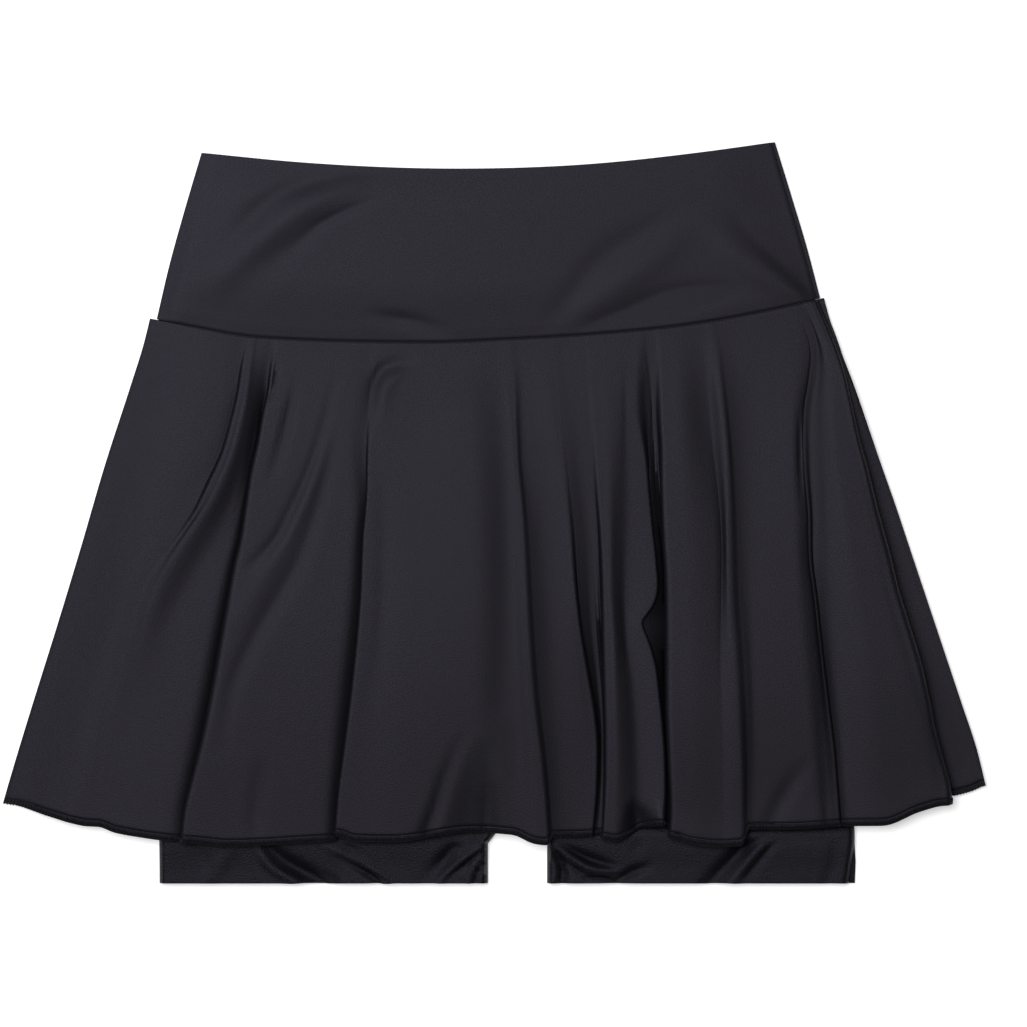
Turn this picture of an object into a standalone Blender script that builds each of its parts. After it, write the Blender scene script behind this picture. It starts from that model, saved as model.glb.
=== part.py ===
"""Tennis skort laid flat with its front up: a flared overskirt and inner shorts on a wide waistband.

Every piece that is cut and sewn is its own cloth wall. The origin is on the floor under the middle of
the garment, +X is the right-hand side as seen from above, +Y points to the waist and +Z is up.
Sizes and places below are in millimetres; MM turns them into metres when a piece is made.
"""
import math
from collections import namedtuple

import bpy
import numpy as np

MM = 0.001

# Cloth walls and the clearance that neighbouring pieces keep
CLOTH = 1.0                # single jersey: skirt and shorts
BAND_CLOTH = 1.7           # the waistband is two layers of jersey
LAYER_GAP = 0.3            # between pieces that lie on each other
SEAM_GAP = 0.4             # between pieces that are sewn edge to edge

# Undersides of the layers that lie on each other, from the floor up
BACK_LAY = 0.0
SHORTS_BACK_LAY = BACK_LAY + CLOTH + LAYER_GAP
SHORTS_FRONT_LAY = SHORTS_BACK_LAY + CLOTH + LAYER_GAP
SKIRT_LAY = SHORTS_FRONT_LAY + CLOTH + LAYER_GAP
SKIRT_RIM = BACK_LAY + CLOTH + LAYER_GAP
BAND_FRONT_LAY = BACK_LAY + BAND_CLOTH + LAYER_GAP
BAND_SEAM_LAY = SKIRT_LAY + CLOTH - BAND_CLOTH

# Outline of the garment
LEG_HEM_Y = -222.3
CROTCH_Y = -64.0
LEG_FALL_FROM_Y = -198.0   # below the back's hem the legs come down to the floor
LEG_FALL_TO_Y = -216.0
BACK_HEM_SHORTER = 5.0     # the back's hem lies this much inside the front's

# How far down from the seam (0) to the hem (1) the skirt's tables give their values
STATIONS = (0.0, 0.16, 0.42, 0.72, 1.0)

# Columns and rows of the cloth grids
SKIRT_ROWS = 15
BACK_ROWS = 9
BACK_COLUMNS = 16
BAND_ROWS = 8
BAND_COLUMNS = 24
SHORTS_COLUMNS = 8
SHORTS_STEP = 24.0         # longest row of the shorts' grids
FOLD_COLUMNS = 8
SPAN_STEP = 10.5           # widest column between two folds, at the hem

# Folds: the higher one stands, the further its cloth turns over
SOFTEST_FOLD = 4.5         # shortest length of cloth that a fold takes up
LEAST_TURN = 0.15          # radians that a fold of no height turns
TURN_PER_RISE = 0.30       # radians more for each millimetre that it rises
FOLD_STEPS = 128           # steps of the sum along a fold's cloth
RIM_WIDTH = 14.0           # width over which the skirt's left edge turns down

# The edge where skirt and shorts are sewn to the waistband, left to right
SEAM = ((-207, 116.6), (-180, 111.4), (-150, 106.0), (-122, 104.0), (-75, 102.5), (-34, 102.2),
        (8, 104.0), (63, 107.4), (118, 113.0), (159, 120.2), (197, 128.6))

# The waistband's top edge, left to right
BAND_TOP = ((-176, 215.7), (-114, 209.8), (-24, 206.2), (51, 208.5), (126, 216.3), (169, 222.3))

# The waistband's sides at four even heights from its top edge to the seam
BAND_LEFT = (-175.6, -186.4, -195.4, -202.4)
BAND_SIDE_SEAM = (168.0, 177.0, 185.6, 193.2)
BAND_RIGHT = (170.4, 180.4, 189.0, 196.0)

# Folds of the skirt's front, left to right. Each x is across the garment and each height is of the
# cloth's underside over the shorts, at the five stations. A hem is the y that the cloth ends at.
Soft = namedtuple("Soft", "name x height hem")
Fold = namedtuple("Fold", "name lip x left right hem turn")
DOWN = SKIRT_RIM - SKIRT_LAY  # height of cloth that lies on the skirt's back, beside the shorts
FOLDS = (
    Soft("left_side", (-207, -220, -244, -270, -294.6), (0.1, 1.4, 2.4, 3.0, 3.0), -174.3),
    Soft("left_panel", (-188, -200, -223, -248, -269), (0.2, 2.4, 4.0, 5.0, 5.0), -181.8),
    Fold("tuck", "left", (-147, -160, -203, -230, -243), (1.0, 4.2, 4.8, 5.4, 5.4),
         (0.2, 1.6, 4.4, 5.2, 5.2), (-187.4, -187.6), 1.5),
    Soft("roll", (-139, -150, -186, -212, -222), (0.2, 2.6, 6.6, 7.4, 7.6), -191.2),
    Soft("left_shoulder", (-135, -145, -167, -189, -205), (0.1, 2.2, 5.6, 6.4, 6.6), -195.6),
    Fold("nose_2", "right", (-128, -138, -154, -174, -190), (0.0, 0.6, 0.6, 0.5, 0.5),
         (0.3, 4.4, 9.0, 11.4, 12.4), (-197.6, -195.6), 2.4),
    Soft("panel_2_left", (-103, -111, -118, -140, -157), (0.2, 4.6, 9.0, 11.0, 11.6), -198.0),
    Soft("panel_2_right", (-88, -94, -97, -113, -124), (0.1, 3.6, 7.6, 8.8, 9.0), -195.8),
    Fold("nose_3", "right", (-73, -77, -78, -87, -96), (0.0, 0.8, 1.4, 1.0, 0.8),
         (0.3, 4.8, 9.6, 12.0, 13.0), (-196.0, -190.4), 2.3),
    Soft("panel_3", (-47, -48, -50, -58, -66), (0.2, 5.4, 10.6, 13.4, 14.4), -196.6),
    Soft("panel_3_tent", (-24, -22, -20, -22, -28), (0.2, 5.2, 10.4, 13.0, 13.4), -188.8),
    Soft("panel_3_trough", (-5, -2, 4, 8, 8), (0.1, 4.2, 8.6, 11.4, 12.0), -193.6),
    Fold("lip_3", "left", (8, 13, 19, 25, 33), (0.2, 4.6, 9.2, 12.0, 12.6),
         (0.0, 2.2, 4.0, 4.2, 4.0), (-198.4, -190.6), 2.0),
    Soft("panel_4", (24, 27, 34, 42, 43.5), (0.1, 3.0, 6.4, 7.6, 7.8), -190.2),
    Fold("lip_4", "left", (36, 40, 46, 55, 54), (0.1, 2.8, 6.0, 8.6, 9.2),
         (0.0, 2.0, 3.0, 0.8, 0.5), (-190.6, -191.0), 2.2),
    Fold("nose_5", "right", (56, 57, 56, 62.5, 62.5), (0.0, 2.0, 3.0, 0.8, 0.5),
         (0.1, 3.0, 6.4, 9.6, 10.6), (-191.4, -194.6), 2.2),
    Soft("panel_5", (70, 72, 68, 72, 72), (0.1, 3.4, 7.0, 10.2, 11.0), -196.4),
    Soft("panel_5_trough", (80, 80, 78, 81, 85), (0.1, 2.6, 5.2, 7.4, 8.0), -190.2),
    Fold("lip_5", "left", (90, 90, 93, 97, 99.5), (0.1, 3.4, 7.6, 9.6, 9.6),
         (0.0, 0.8, 0.6, 0.5, 0.5), (-187.0, -188.0), 2.3),
    Fold("nose_6", "right", (99, 99, 100.5, 103, 105), (0.0, 0.8, 0.6, 0.5, 0.5),
         (0.2, 4.2, 9.0, 11.6, 12.4), (-190.0, -195.0), 2.4),
    Soft("panel_6", (111, 112, 114, 117, 118), (0.2, 4.6, 9.4, 12.0, 12.8), -197.8),
    Soft("panel_6_trough", (121, 125, 132, 135, 136), (0.1, 3.6, 7.6, 10.0, 10.6), -199.6),
    Fold("lip_6", "left", (130, 136, 142, 147, 149), (0.2, 4.2, 8.8, 11.4, 12.0),
         (0.0, 2.2, 4.2, 5.0, 5.0), (-198.8, -189.4), 2.0),
    Soft("panel_7", (158, 162, 166, 171, 175), (0.1, 3.4, 6.6, 8.0, 8.2), -189.4),
    Soft("crevice_8", (181, 184, 188, 199, 203), (0.0, 0.8, 1.6, 1.0, 0.6), -187.0),
    Soft("panel_8", (187, 195, 208, 223, 227), (0.3, 4.0, 8.0, 10.0, 10.4), -187.0),
    Fold("lip_8", "left", (193.5, 210.5, 230, 252, 273), (0.1, 2.6, 6.6, 9.0, 9.0),
         (DOWN, DOWN + 0.2, DOWN + 0.3, DOWN + 0.3, DOWN + 0.3), (-175.2, -169.6), 2.2),
    Soft("right_side", (197.6, 214, 241, 270, 294.6), (DOWN,) * 5, -163.6),
)

# Shallow flutes that stand up from the floor in the skirt's back, beside the shorts. Each runs down to
# the hem from the place from_v, at one share of the back's width.
Flute = namedtuple("Flute", "share from_v width height")
FLUTES = (
    Flute(0.045, 0.45, 8.0, 2.2),
    Flute(0.100, 0.72, 6.0, 1.6),
    Flute(0.893, 0.86, 4.0, 1.2),
    Flute(0.925, 0.60, 5.5, 1.8),
)
FLUTE_COLUMNS = (-2.2, -1.3, -0.7, 0.0, 0.7, 1.3, 2.2)  # columns across a flute, in its widths
COLUMN_CLEARANCE = 0.004   # share of the back's width that an even column keeps from these
CORNER_SHARE = 0.1         # share of the half hem over which the back's hem meets the front's

# Edges of the shorts' panels from the seam down. The inner edge is the rise seam down to the crotch and
# the inseam below it, and both legs have it at the same heights.
Edge = namedtuple("Edge", "y x")
RISE = (Edge(103.6, -4.0), Edge(62, 0.0), Edge(0, 6.0), Edge(CROTCH_Y, 11.8))
LEFT_INSEAM = (Edge(-130, 8.6), Edge(-188, 3.4), Edge(-198, -4.5), Edge(LEG_HEM_Y, -4.5))
RIGHT_INSEAM = (Edge(-130, 22.0), Edge(-188, 31.0), Edge(-198, 32.1), Edge(LEG_HEM_Y, 32.1))
LEFT_OUTER = (
    Edge(113, -186.0), Edge(90, -196.0), Edge(62, -201.0), Edge(0, -203.4), Edge(CROTCH_Y, -203.0),
    Edge(-130, -202.0), Edge(-198, -200.2), Edge(LEG_HEM_Y, -200.1),
)
RIGHT_OUTER = (
    Edge(124, 180.0), Edge(90, 196.0), Edge(62, 202.0), Edge(0, 209.0), Edge(CROTCH_Y, 213.0),
    Edge(-130, 215.0), Edge(-198, 215.2), Edge(LEG_HEM_Y, 211.6),
)
BACK_LEG_SHOWS = 4.6       # the back of the right leg shows this far beyond its front at the hem
BACK_LEG_FROM_Y = -188.0

# The waistband's front is lifted along the seam but not at its ends, and its back's right margin turns up
BAND_EDGE_SHARE = 0.06     # share of the front's width over which it comes down to the back at each end
MARGIN_FROM = 0.993        # share of the back's width where its margin starts to turn up
MARGIN_RISE = 1.0

COLOURS = {
    "waistband": (0.026, 0.026, 0.031),
    "skirt": (0.021, 0.021, 0.025),
    "shorts": (0.016, 0.016, 0.020),
}
SATIN = 0.42               # roughness of the jersey's face


def hermite(xs, ys, slopes, x):
    """Cubic curve through the points (xs, ys) with these slopes, read at x."""
    xs, ys, slopes = (np.asarray(a, float) for a in (xs, ys, slopes))
    i = np.clip(np.searchsorted(xs, x, side="right") - 1, 0, len(xs) - 2)
    width = xs[i + 1] - xs[i]
    t = np.clip((x - xs[i]) / width, 0.0, 1.0)
    start = (1 + 2 * t) * (1 - t) ** 2 * ys[i] + t * (1 - t) ** 2 * width * slopes[i]
    end = t * t * (3 - 2 * t) * ys[i + 1] + t * t * (t - 1) * width * slopes[i + 1]
    return start + end


def smooth_curve(xs, ys, x):
    """Smooth curve through the points (xs, ys), read at x."""
    return hermite(xs, ys, np.gradient(np.asarray(ys, float), np.asarray(xs, float)), x)


def even_slopes(xs, ys):
    """Slopes that never overshoot the points, and are level at each end, ridge and valley."""
    steps = np.diff(ys) / np.diff(xs)
    slopes = np.zeros(len(xs))
    for i in range(1, len(xs) - 1):
        if steps[i - 1] * steps[i] > 0:
            slopes[i] = 2 * steps[i - 1] * steps[i] / (steps[i - 1] + steps[i])
    return slopes


def smoothstep(t):
    """Level start and level end between 0 and 1."""
    t = np.clip(t, 0.0, 1.0)
    return t * t * (3 - 2 * t)


def seam_y(x):
    """Y of the seam under the waistband."""
    return smooth_curve(*zip(*SEAM), x)


def band_top_y(x):
    """Y of the waistband's top edge."""
    return smooth_curve(*zip(*BAND_TOP), x)


def fold_shape(turn, t):
    """Run and rise for each length of cloth at places t along a fold, with its whole rise and its nose.

    The cloth's slope swings from level up to the angle turn, at mid length, and back to level. Past a
    right angle it lies back over itself. The nose is where its upper half reaches furthest back.
    """
    places = np.linspace(0.0, 1.0, FOLD_STEPS + 1)
    slope = turn * np.sin(np.pi * (places[1:] - 0.5 / FOLD_STEPS)) ** 2
    run = np.append(0.0, np.cumsum(np.cos(slope)) / FOLD_STEPS)
    rise = np.append(0.0, np.cumsum(np.sin(slope)) / FOLD_STEPS)
    nose = run[len(run) // 2:].min()
    return np.interp(t, places, run), np.interp(t, places, rise), rise[-1], nose


def fold_points(fold, v):
    """Section of one fold at v: rows of x, height and hem, from its left side to its right side."""
    x = smooth_curve(STATIONS, fold.x, v)
    left, right = (smooth_curve(STATIONS, side, v) for side in (fold.left, fold.right))
    t = np.linspace(0.0, 1.0, FOLD_COLUMNS + 1)
    climb = abs(right - left)
    turn = min(fold.turn, LEAST_TURN + TURN_PER_RISE * climb)
    upward = t if fold.lip == "right" else 1.0 - t
    run, rise, whole_rise, nose = fold_shape(turn, upward)
    length = max(SOFTEST_FOLD, climb / whole_rise)
    across = length * (run - nose)
    xs = x + across if fold.lip == "right" else x - across
    heights = min(left, right) + climb * rise / whole_rise
    hems = fold.hem[0] + (fold.hem[1] - fold.hem[0]) * smoothstep(t)
    return np.stack([xs, heights, hems], axis=1)


def span_points(knots, counts):
    """Rows of x, height and hem between two folds, through the soft ridges and valleys there."""
    xs, heights, hems = (np.array(a, float) for a in zip(*knots))
    places = [np.linspace(xs[i], xs[i + 1], n, endpoint=False) for i, n in enumerate(counts)]
    x = np.concatenate(places + [xs[-1:]])
    height = hermite(xs, heights, even_slopes(xs, heights), x)
    return np.stack([x, height, hermite(xs, hems, even_slopes(xs, hems), x)], axis=1)


def span_columns():
    """Number of columns between each fold, ridge or valley and the next, from their places at the hem."""
    hem_x = [row.x[-1] for row in FOLDS]
    return [max(2, math.ceil((b - a) / SPAN_STEP)) for a, b in zip(hem_x, hem_x[1:])]


def skirt_section(v):
    """Rows of x, height and hem across the skirt's front at v, from its left side to its right side."""
    counts = span_columns()
    pieces = []
    knots, knot_counts = [], []
    for i, row in enumerate(FOLDS):
        if isinstance(row, Fold):
            fold = fold_points(row, v)
            pieces.append(span_points(knots + [tuple(fold[0])], knot_counts)[:-1])
            pieces.append(fold[:-1])
            knots, knot_counts = [tuple(fold[-1])], []
        else:
            x = smooth_curve(STATIONS, row.x, v)
            knots.append((x, smooth_curve(STATIONS, row.height, v), row.hem))
        if i < len(counts):
            knot_counts.append(counts[i])
    pieces.append(span_points(knots, knot_counts))
    return np.concatenate(pieces)


def left_turned_down(section):
    """Heights with the left edge turned down over the side seam, as a quarter round."""
    share = np.clip((section[:, 0] - section[0, 0]) / RIM_WIDTH, 0.0, 1.0)
    return DOWN + (section[:, 1] - DOWN) * np.sin(share * math.pi / 2)


def skirt_front_rows():
    """Underside of the skirt's front, a row of points for each step from the seam to the hem."""
    top_x = skirt_section(0.0)[:, 0]
    top_y = seam_y(top_x) - SEAM_GAP / 2
    rows = []
    for v in np.linspace(0.0, 1.0, SKIRT_ROWS + 1):
        section = skirt_section(v)
        y = top_y + (section[:, 2] - top_y) * v
        rows.append(np.stack([section[:, 0], y, SKIRT_LAY + left_turned_down(section)], axis=1))
    return rows


def flute_height(share, width, v):
    """Height of the back's flutes over the floor, across a row of this width."""
    height = np.zeros_like(share)
    for flute in FLUTES:
        grown = smoothstep((v - flute.from_v) / (1.0 - flute.from_v))
        height += flute.height * grown * np.exp(-((share - flute.share) * width / flute.width) ** 2)
    return height


def back_shares(hem_width):
    """Shares of the back's width that have a column: even ones, and some across each flute."""
    even = np.linspace(0.0, 1.0, BACK_COLUMNS + 1)
    near = [flute.share + flute.width * step / hem_width for flute in FLUTES for step in FLUTE_COLUMNS]
    clear = [s for s in even if min(abs(s - place) for place in near) > COLUMN_CLEARANCE]
    return np.sort(np.concatenate([clear, near]))


def back_hem_y(x):
    """Y of the back's hem, which lies a little inside the front's except at the two sides."""
    hem = [(row.x[-1], max(row.hem) if isinstance(row, Fold) else row.hem) for row in FOLDS]
    inside = BACK_HEM_SHORTER * smoothstep((1.0 - np.abs(x) / FOLDS[-1].x[-1]) / CORNER_SHARE)
    return np.interp(x, *zip(*hem)) + inside


def skirt_back_rows():
    """Underside of the skirt's back: level on the floor, with a few flutes beside the shorts."""
    left, right = FOLDS[0].x, FOLDS[-1].x
    share = back_shares(right[-1] - left[-1])
    top_y = seam_y(left[0] + (right[0] - left[0]) * share) - SEAM_GAP / 2
    hem_y = back_hem_y(left[-1] + (right[-1] - left[-1]) * share)
    rows = []
    for v in np.linspace(0.0, 1.0, BACK_ROWS + 1):
        x0, x1 = smooth_curve(STATIONS, left, v), smooth_curve(STATIONS, right, v)
        z = BACK_LAY + flute_height(share, x1 - x0, v)
        rows.append(np.stack([x0 + (x1 - x0) * share, top_y + (hem_y - top_y) * v, z], axis=1))
    return rows


def band_rows(left, right, across, underside):
    """Rows of a waistband piece from its top edge to the seam, with columns at the shares across.

    underside gives z from the share across and the share down.
    """
    heights = np.linspace(0.0, 1.0, len(left))
    top_y = band_top_y(left[0] + (right[0] - left[0]) * across)
    low_y = seam_y(left[-1] + (right[-1] - left[-1]) * across) + SEAM_GAP / 2
    rows = []
    for v in np.linspace(0.0, 1.0, BAND_ROWS + 1):
        x0, x1 = smooth_curve(heights, left, v), smooth_curve(heights, right, v)
        z = underside(across, v)
        rows.append(np.stack([x0 + (x1 - x0) * across, top_y + (low_y - top_y) * v, z], axis=1))
    return rows


def band_front_underside(across, v):
    """The front lies on the back at its edges and is lifted to the skirt's level along the seam."""
    side = smoothstep(np.minimum(across, 1.0 - across) / BAND_EDGE_SHARE)
    return BAND_FRONT_LAY + (BAND_SEAM_LAY - BAND_FRONT_LAY) * smoothstep(v) * side


def band_back_underside(across, v):
    """The back lies on the floor, and its right margin turns up round the side seam."""
    return BACK_LAY + MARGIN_RISE * smoothstep((across - MARGIN_FROM) / (1.0 - MARGIN_FROM))


def edge_x(edges, y):
    """X of a panel's edge at y."""
    return np.interp(-np.asarray(y), [-edge.y for edge in edges], [edge.x for edge in edges])


def shorts_levels(inner):
    """How far down (0 to 1) each row of a panel lies, with one row at each point of its inner edge."""
    levels = []
    for upper, lower in zip(inner, inner[1:]):
        count = math.ceil((upper.y - lower.y) / SHORTS_STEP)
        levels += list(np.linspace(upper.y, lower.y, count, endpoint=False))
    heights = np.array(levels + [inner[-1].y])
    return (inner[0].y - heights) / (inner[0].y - inner[-1].y)


def shorts_rows(side, outer, inseam, lay, shows=0.0):
    """Rows of a shorts panel from the seam to the leg's hem, with its underside at the height lay.

    side is -1 for the panel left of the rise seam and 1 for the one right of it. Below the skirt's back
    the leg comes down to the floor. A panel that shows beyond the other at the leg's hem is wider there
    by the length shows.
    """
    inner = RISE + inseam
    across = np.linspace(0.0, 1.0, SHORTS_COLUMNS + 1)
    top_x = outer[0].x + (inner[0].x - outer[0].x) * across
    top_y = seam_y(top_x) - SEAM_GAP / 2
    rows = []
    for level in shorts_levels(inner):
        y = top_y + (LEG_HEM_Y - top_y) * level
        wider = side * shows * smoothstep((BACK_LEG_FROM_Y - y[0]) / (BACK_LEG_FROM_Y - LEG_HEM_Y))
        x0 = edge_x(outer, y[0]) + wider
        x1 = edge_x(inner, inner[0].y + (LEG_HEM_Y - inner[0].y) * level) + side * SEAM_GAP / 2
        fall = smoothstep((LEG_FALL_FROM_Y - y) / (LEG_FALL_FROM_Y - LEG_FALL_TO_Y))
        row = np.stack([x0 + (x1 - x0) * across, y, lay - SHORTS_BACK_LAY * fall], axis=1)
        rows.append(row[::-side])
    return rows


def jersey(name):
    """Matt-satin dark jersey of one of the garment's cloths."""
    material = bpy.data.materials.new(name)
    material.use_nodes = True
    shader = material.node_tree.nodes["Principled BSDF"]
    shader.inputs["Base Color"].default_value = (*COLOURS[name], 1.0)
    shader.inputs["Roughness"].default_value = SATIN
    shader.inputs["Metallic"].default_value = 0.0
    return material


def lay_cloth(name, rows, wall, material, collection):
    """A cloth wall on its underside: a grid reshaped to the rows of points, made solid upwards."""
    points = np.array(rows)
    row_count, column_count = points.shape[0] - 1, points.shape[1] - 1
    bpy.ops.mesh.primitive_grid_add(x_subdivisions=column_count, y_subdivisions=row_count, size=2.0)
    piece = bpy.context.active_object
    piece.name = piece.data.name = name
    for vertex in piece.data.vertices:
        column = round((vertex.co.x + 1.0) / 2.0 * column_count)
        row = round((1.0 - vertex.co.y) / 2.0 * row_count)
        vertex.co = points[row, column] * MM
    solid = piece.modifiers.new("cloth", "SOLIDIFY")
    solid.thickness = wall * MM
    solid.offset = 1.0
    solid.use_even_offset = True
    piece.data.materials.append(material)
    piece.data.shade_smooth()
    for other in piece.users_collection:
        other.objects.unlink(piece)
    collection.objects.link(piece)
    return piece


def clear_scene():
    """Remove every object of the open file."""
    for item in list(bpy.data.objects):
        bpy.data.objects.remove(item, do_unlink=True)


def build_skort():
    """Make the waistband, the skirt and the shorts in a collection of their own."""
    clear_scene()
    skort = bpy.data.collections.new("tennis_skort")
    bpy.context.scene.collection.children.link(skort)
    cloths = {name: jersey(name) for name in COLOURS}

    def piece(name, rows, wall, cloth):
        return lay_cloth(name, rows, wall, cloths[cloth], skort)

    even = np.linspace(0.0, 1.0, BAND_COLUMNS + 1)
    with_margin = np.append(np.linspace(0.0, MARGIN_FROM, BAND_COLUMNS), 1.0)
    front = band_rows(BAND_LEFT, BAND_SIDE_SEAM, even, band_front_underside)
    back = band_rows(BAND_LEFT, BAND_RIGHT, with_margin, band_back_underside)
    piece("waistband_front", front, BAND_CLOTH, "waistband")
    piece("waistband_back", back, BAND_CLOTH, "waistband")
    piece("skirt_front", skirt_front_rows(), CLOTH, "skirt")
    piece("skirt_back", skirt_back_rows(), CLOTH, "skirt")
    legs = {"left": (-1, LEFT_OUTER, LEFT_INSEAM), "right": (1, RIGHT_OUTER, RIGHT_INSEAM)}
    for name, (side, outer, inseam) in legs.items():
        shows = BACK_LEG_SHOWS if name == "right" else 0.0
        front_rows = shorts_rows(side, outer, inseam, SHORTS_FRONT_LAY)
        back_rows = shorts_rows(side, outer, inseam, SHORTS_BACK_LAY, shows)
        piece("shorts_front_" + name, front_rows, CLOTH, "shorts")
        piece("shorts_back_" + name, back_rows, CLOTH, "shorts")


build_skort()
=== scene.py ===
"""Tennis skort laid flat: cloths, hem threads and the table that they lie on.

Tables and sizes of the garment are in millimetres; MM turns them into metres when a piece is made. +X is
the right-hand side as seen from above, +Y points to the waist and +Z is up.
"""
import math
from collections import namedtuple
from functools import partial
import bpy
import numpy as np
from bpy.props import FloatProperty, FloatVectorProperty, PointerProperty
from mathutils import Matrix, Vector


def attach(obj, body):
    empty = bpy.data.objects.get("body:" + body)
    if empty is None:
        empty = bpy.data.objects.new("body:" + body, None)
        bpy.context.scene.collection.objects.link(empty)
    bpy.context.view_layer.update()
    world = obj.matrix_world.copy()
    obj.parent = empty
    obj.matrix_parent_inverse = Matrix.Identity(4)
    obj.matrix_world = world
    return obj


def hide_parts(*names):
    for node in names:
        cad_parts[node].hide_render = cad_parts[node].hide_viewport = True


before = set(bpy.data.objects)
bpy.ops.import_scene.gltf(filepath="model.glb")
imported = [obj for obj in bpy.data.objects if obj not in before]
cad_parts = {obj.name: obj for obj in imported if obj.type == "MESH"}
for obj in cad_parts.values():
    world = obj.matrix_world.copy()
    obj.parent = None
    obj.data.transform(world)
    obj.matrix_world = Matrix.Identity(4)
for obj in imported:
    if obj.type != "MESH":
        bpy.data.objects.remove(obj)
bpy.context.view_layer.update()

bl_info = {
    "name": "Tennis Skort",
    "version": (1, 0, 0),
    "blender": (4, 5, 0),
    "location": "View3D > Sidebar > Skort",
    "description": "Builds a tennis skort laid flat, with its waistband, skirt, inner shorts and hem threads",
    "category": "Object",
}

MM = 0.001

# Undersides of the layers that lie on each other, from the table up
TABLE_Z = -0.4  # leaves room for the thread under the back's hem
BACK_LAY = 0.0
SHORTS_BACK_LAY = 1.3
SHORTS_FRONT_LAY = 2.6
SKIRT_LAY = 3.9
BAND_FRONT_LAY = 2.0
BAND_SEAM_LAY = 3.2
UNDER_LAYER = SHORTS_BACK_LAY - SKIRT_LAY  # cloth of the skirt's front that lies on the skirt's back
SEAM_GAP = 0.4

LEG_HEM_Y = -222.3
CROTCH_Y = -64.0
LEG_FALL_FROM_Y, LEG_FALL_TO_Y = -198.0, -216.0  # here the legs come down to the table
LEG_RISES_FROM_Y, LEG_LIFTED_AT_Y = -182.0, -194.0  # and here their fronts swell
LEG_LIFT = 4.3
LEG_OUTER_FALLOFF, LEG_INNER_FALLOFF = 2.4, 2.0  # widths over which the swell ends at a leg's sides
LEG_CREASES_GROW = 7.0  # the leg's creases reach their full depth over this length
LEG_ROOM, LEAST_ROOM = 3.6, 0.05  # room under creases of the skirt where the legs swell, and further up
BACK_HEM_SHORTER = 5.0  # the skirt's back ends this much higher than its front,
BACK_HEM_CORNER = 0.1  # but for this share of its half width at each side

SEAM_ROLL, SEAM_ROLL_WIDTH = 0.5, 0.8  # the cloth rounds up this far from the seam
SEAM_ROLL_FROM = 0.0025  # share of the skirt's length that the roll takes to start
BAND_OF_HEM = 3.4  # depth of the overlocked edge, up to the dent of the needle row
NEEDLE_DENT, NEEDLE_DENT_WIDTH = 0.30, 0.55  # the needle row pulls the cloth in
HEM_ROLL, HEM_ROLL_ROOM = 1.3, 4.0  # the overlocked edge turns down, where it has this much room
HEM_WAVE, HEM_WAVE_FADES = 0.16, 5.0  # faint waves that the overlock draws, and how soon they fade
HEM_WAVE_TURNS, HEM_WAVE_START = (0.71, 0.173), 1.1  # in radians, for each millimetre and at x = 0

# The edge where skirt and shorts are sewn to the waistband, and the waistband's top edge
SEAM = ((-207, 116.6), (-180, 111.4), (-150, 106.0), (-122, 104.0), (-75, 102.5), (-34, 102.2),
        (8, 104.0), (63, 107.4), (118, 113.0), (159, 120.2), (197, 128.6))
BAND_TOP = ((-176, 215.7), (-114, 209.8), (-24, 206.2), (51, 208.5), (126, 216.3), (169, 222.3))
BAND_LEFT = (-175.6, -185.4, -194.6, -202.4)
BAND_SIDE_SEAM = (165.8, 174.8, 184.2, 192.8)
BAND_RIGHT = (168.2, 177.8, 187.2, 195.4)

# The waistband's front rises off its back by a lift, some slack and its creases. Their edges say over which
# share of its depth, and over how many millimetres above the seam, each of them grows.
BAND_LIFT, BAND_LIFT_EDGES = 1.6, (0.25, 36.0)
BAND_SLACK, BAND_SLACK_EDGES = 0.3, (0.10, 8.0)
BAND_CREASE_EDGES = (0.10, 5.0)
BAND_LEFT_SIDE, BAND_LIFT_SIDE = 0.03, 0.10  # shares of its width over which it rises at the left
BAND_RIGHT_SIDE, BAND_RIGHT_SIDE_LESS = 0.12, 0.10  # at the right, and how much less it is by the seam
BAND_RIGHT_FLAT = 0.85  # how much of the lift the right side has lost,
BAND_FLAT_FROM, BAND_FLAT_OVER = 0.45, 0.5  # from this share of its width, over this one

# Threads: how high the looper's middle lies, and the needle's at each quarter of a stitch, as shares of the
# thickness, and how far the looper stands off the edge in millimetres
THREAD_LIE = 0.32
EDGE_SLACK, UNDER_EDGE_SLACK = 0.12, 0.05
THROUGH_BEYOND = 0.06  # the looper goes through beyond the needle line, by this share of its depth
HEM_LINES = (0.0, 0.42, 0.78, 1.0)  # guide lines of the overlock, from the edge (0) to the needle line
NEEDLE_DIPS = (-0.35, 0.25, 0.35, 0.25)
NEEDLE_BEYOND, NEEDLE_SHARE = 0.1, 0.8  # the needle row's place beyond the overlock, and its thickness
WAIST_THREAD, WAIST_STEP = 0.9, 0.6
WAIST_FROM_X, WAIST_TO_X = -201.5, 192.5
WAIST_ENDS, WAIST_RISES_OVER = (-203.0, 194.0), 24.0  # from these ends the thread rises to its level
WAIST_LOW, WAIST_LEVEL = BAND_FRONT_LAY + 1.0, BAND_SEAM_LAY + 0.95
WAIST_BEAD, WAIST_BEAD_TURN = 0.10, 2.6

# Folds of the skirt's front, left to right. A path runs from the seam down to the hem. Heights of the
# cloth's underside over the shorts are given at STATIONS, from the seam (0) to the hem (1).
STATIONS = (0.0, 0.16, 0.42, 0.72, 1.0)
# A soft ridge or valley between folds. hem is the Y of the hem there, and a fold's is at its two sides.
Soft = namedtuple("Soft", "name height hem path")
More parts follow.
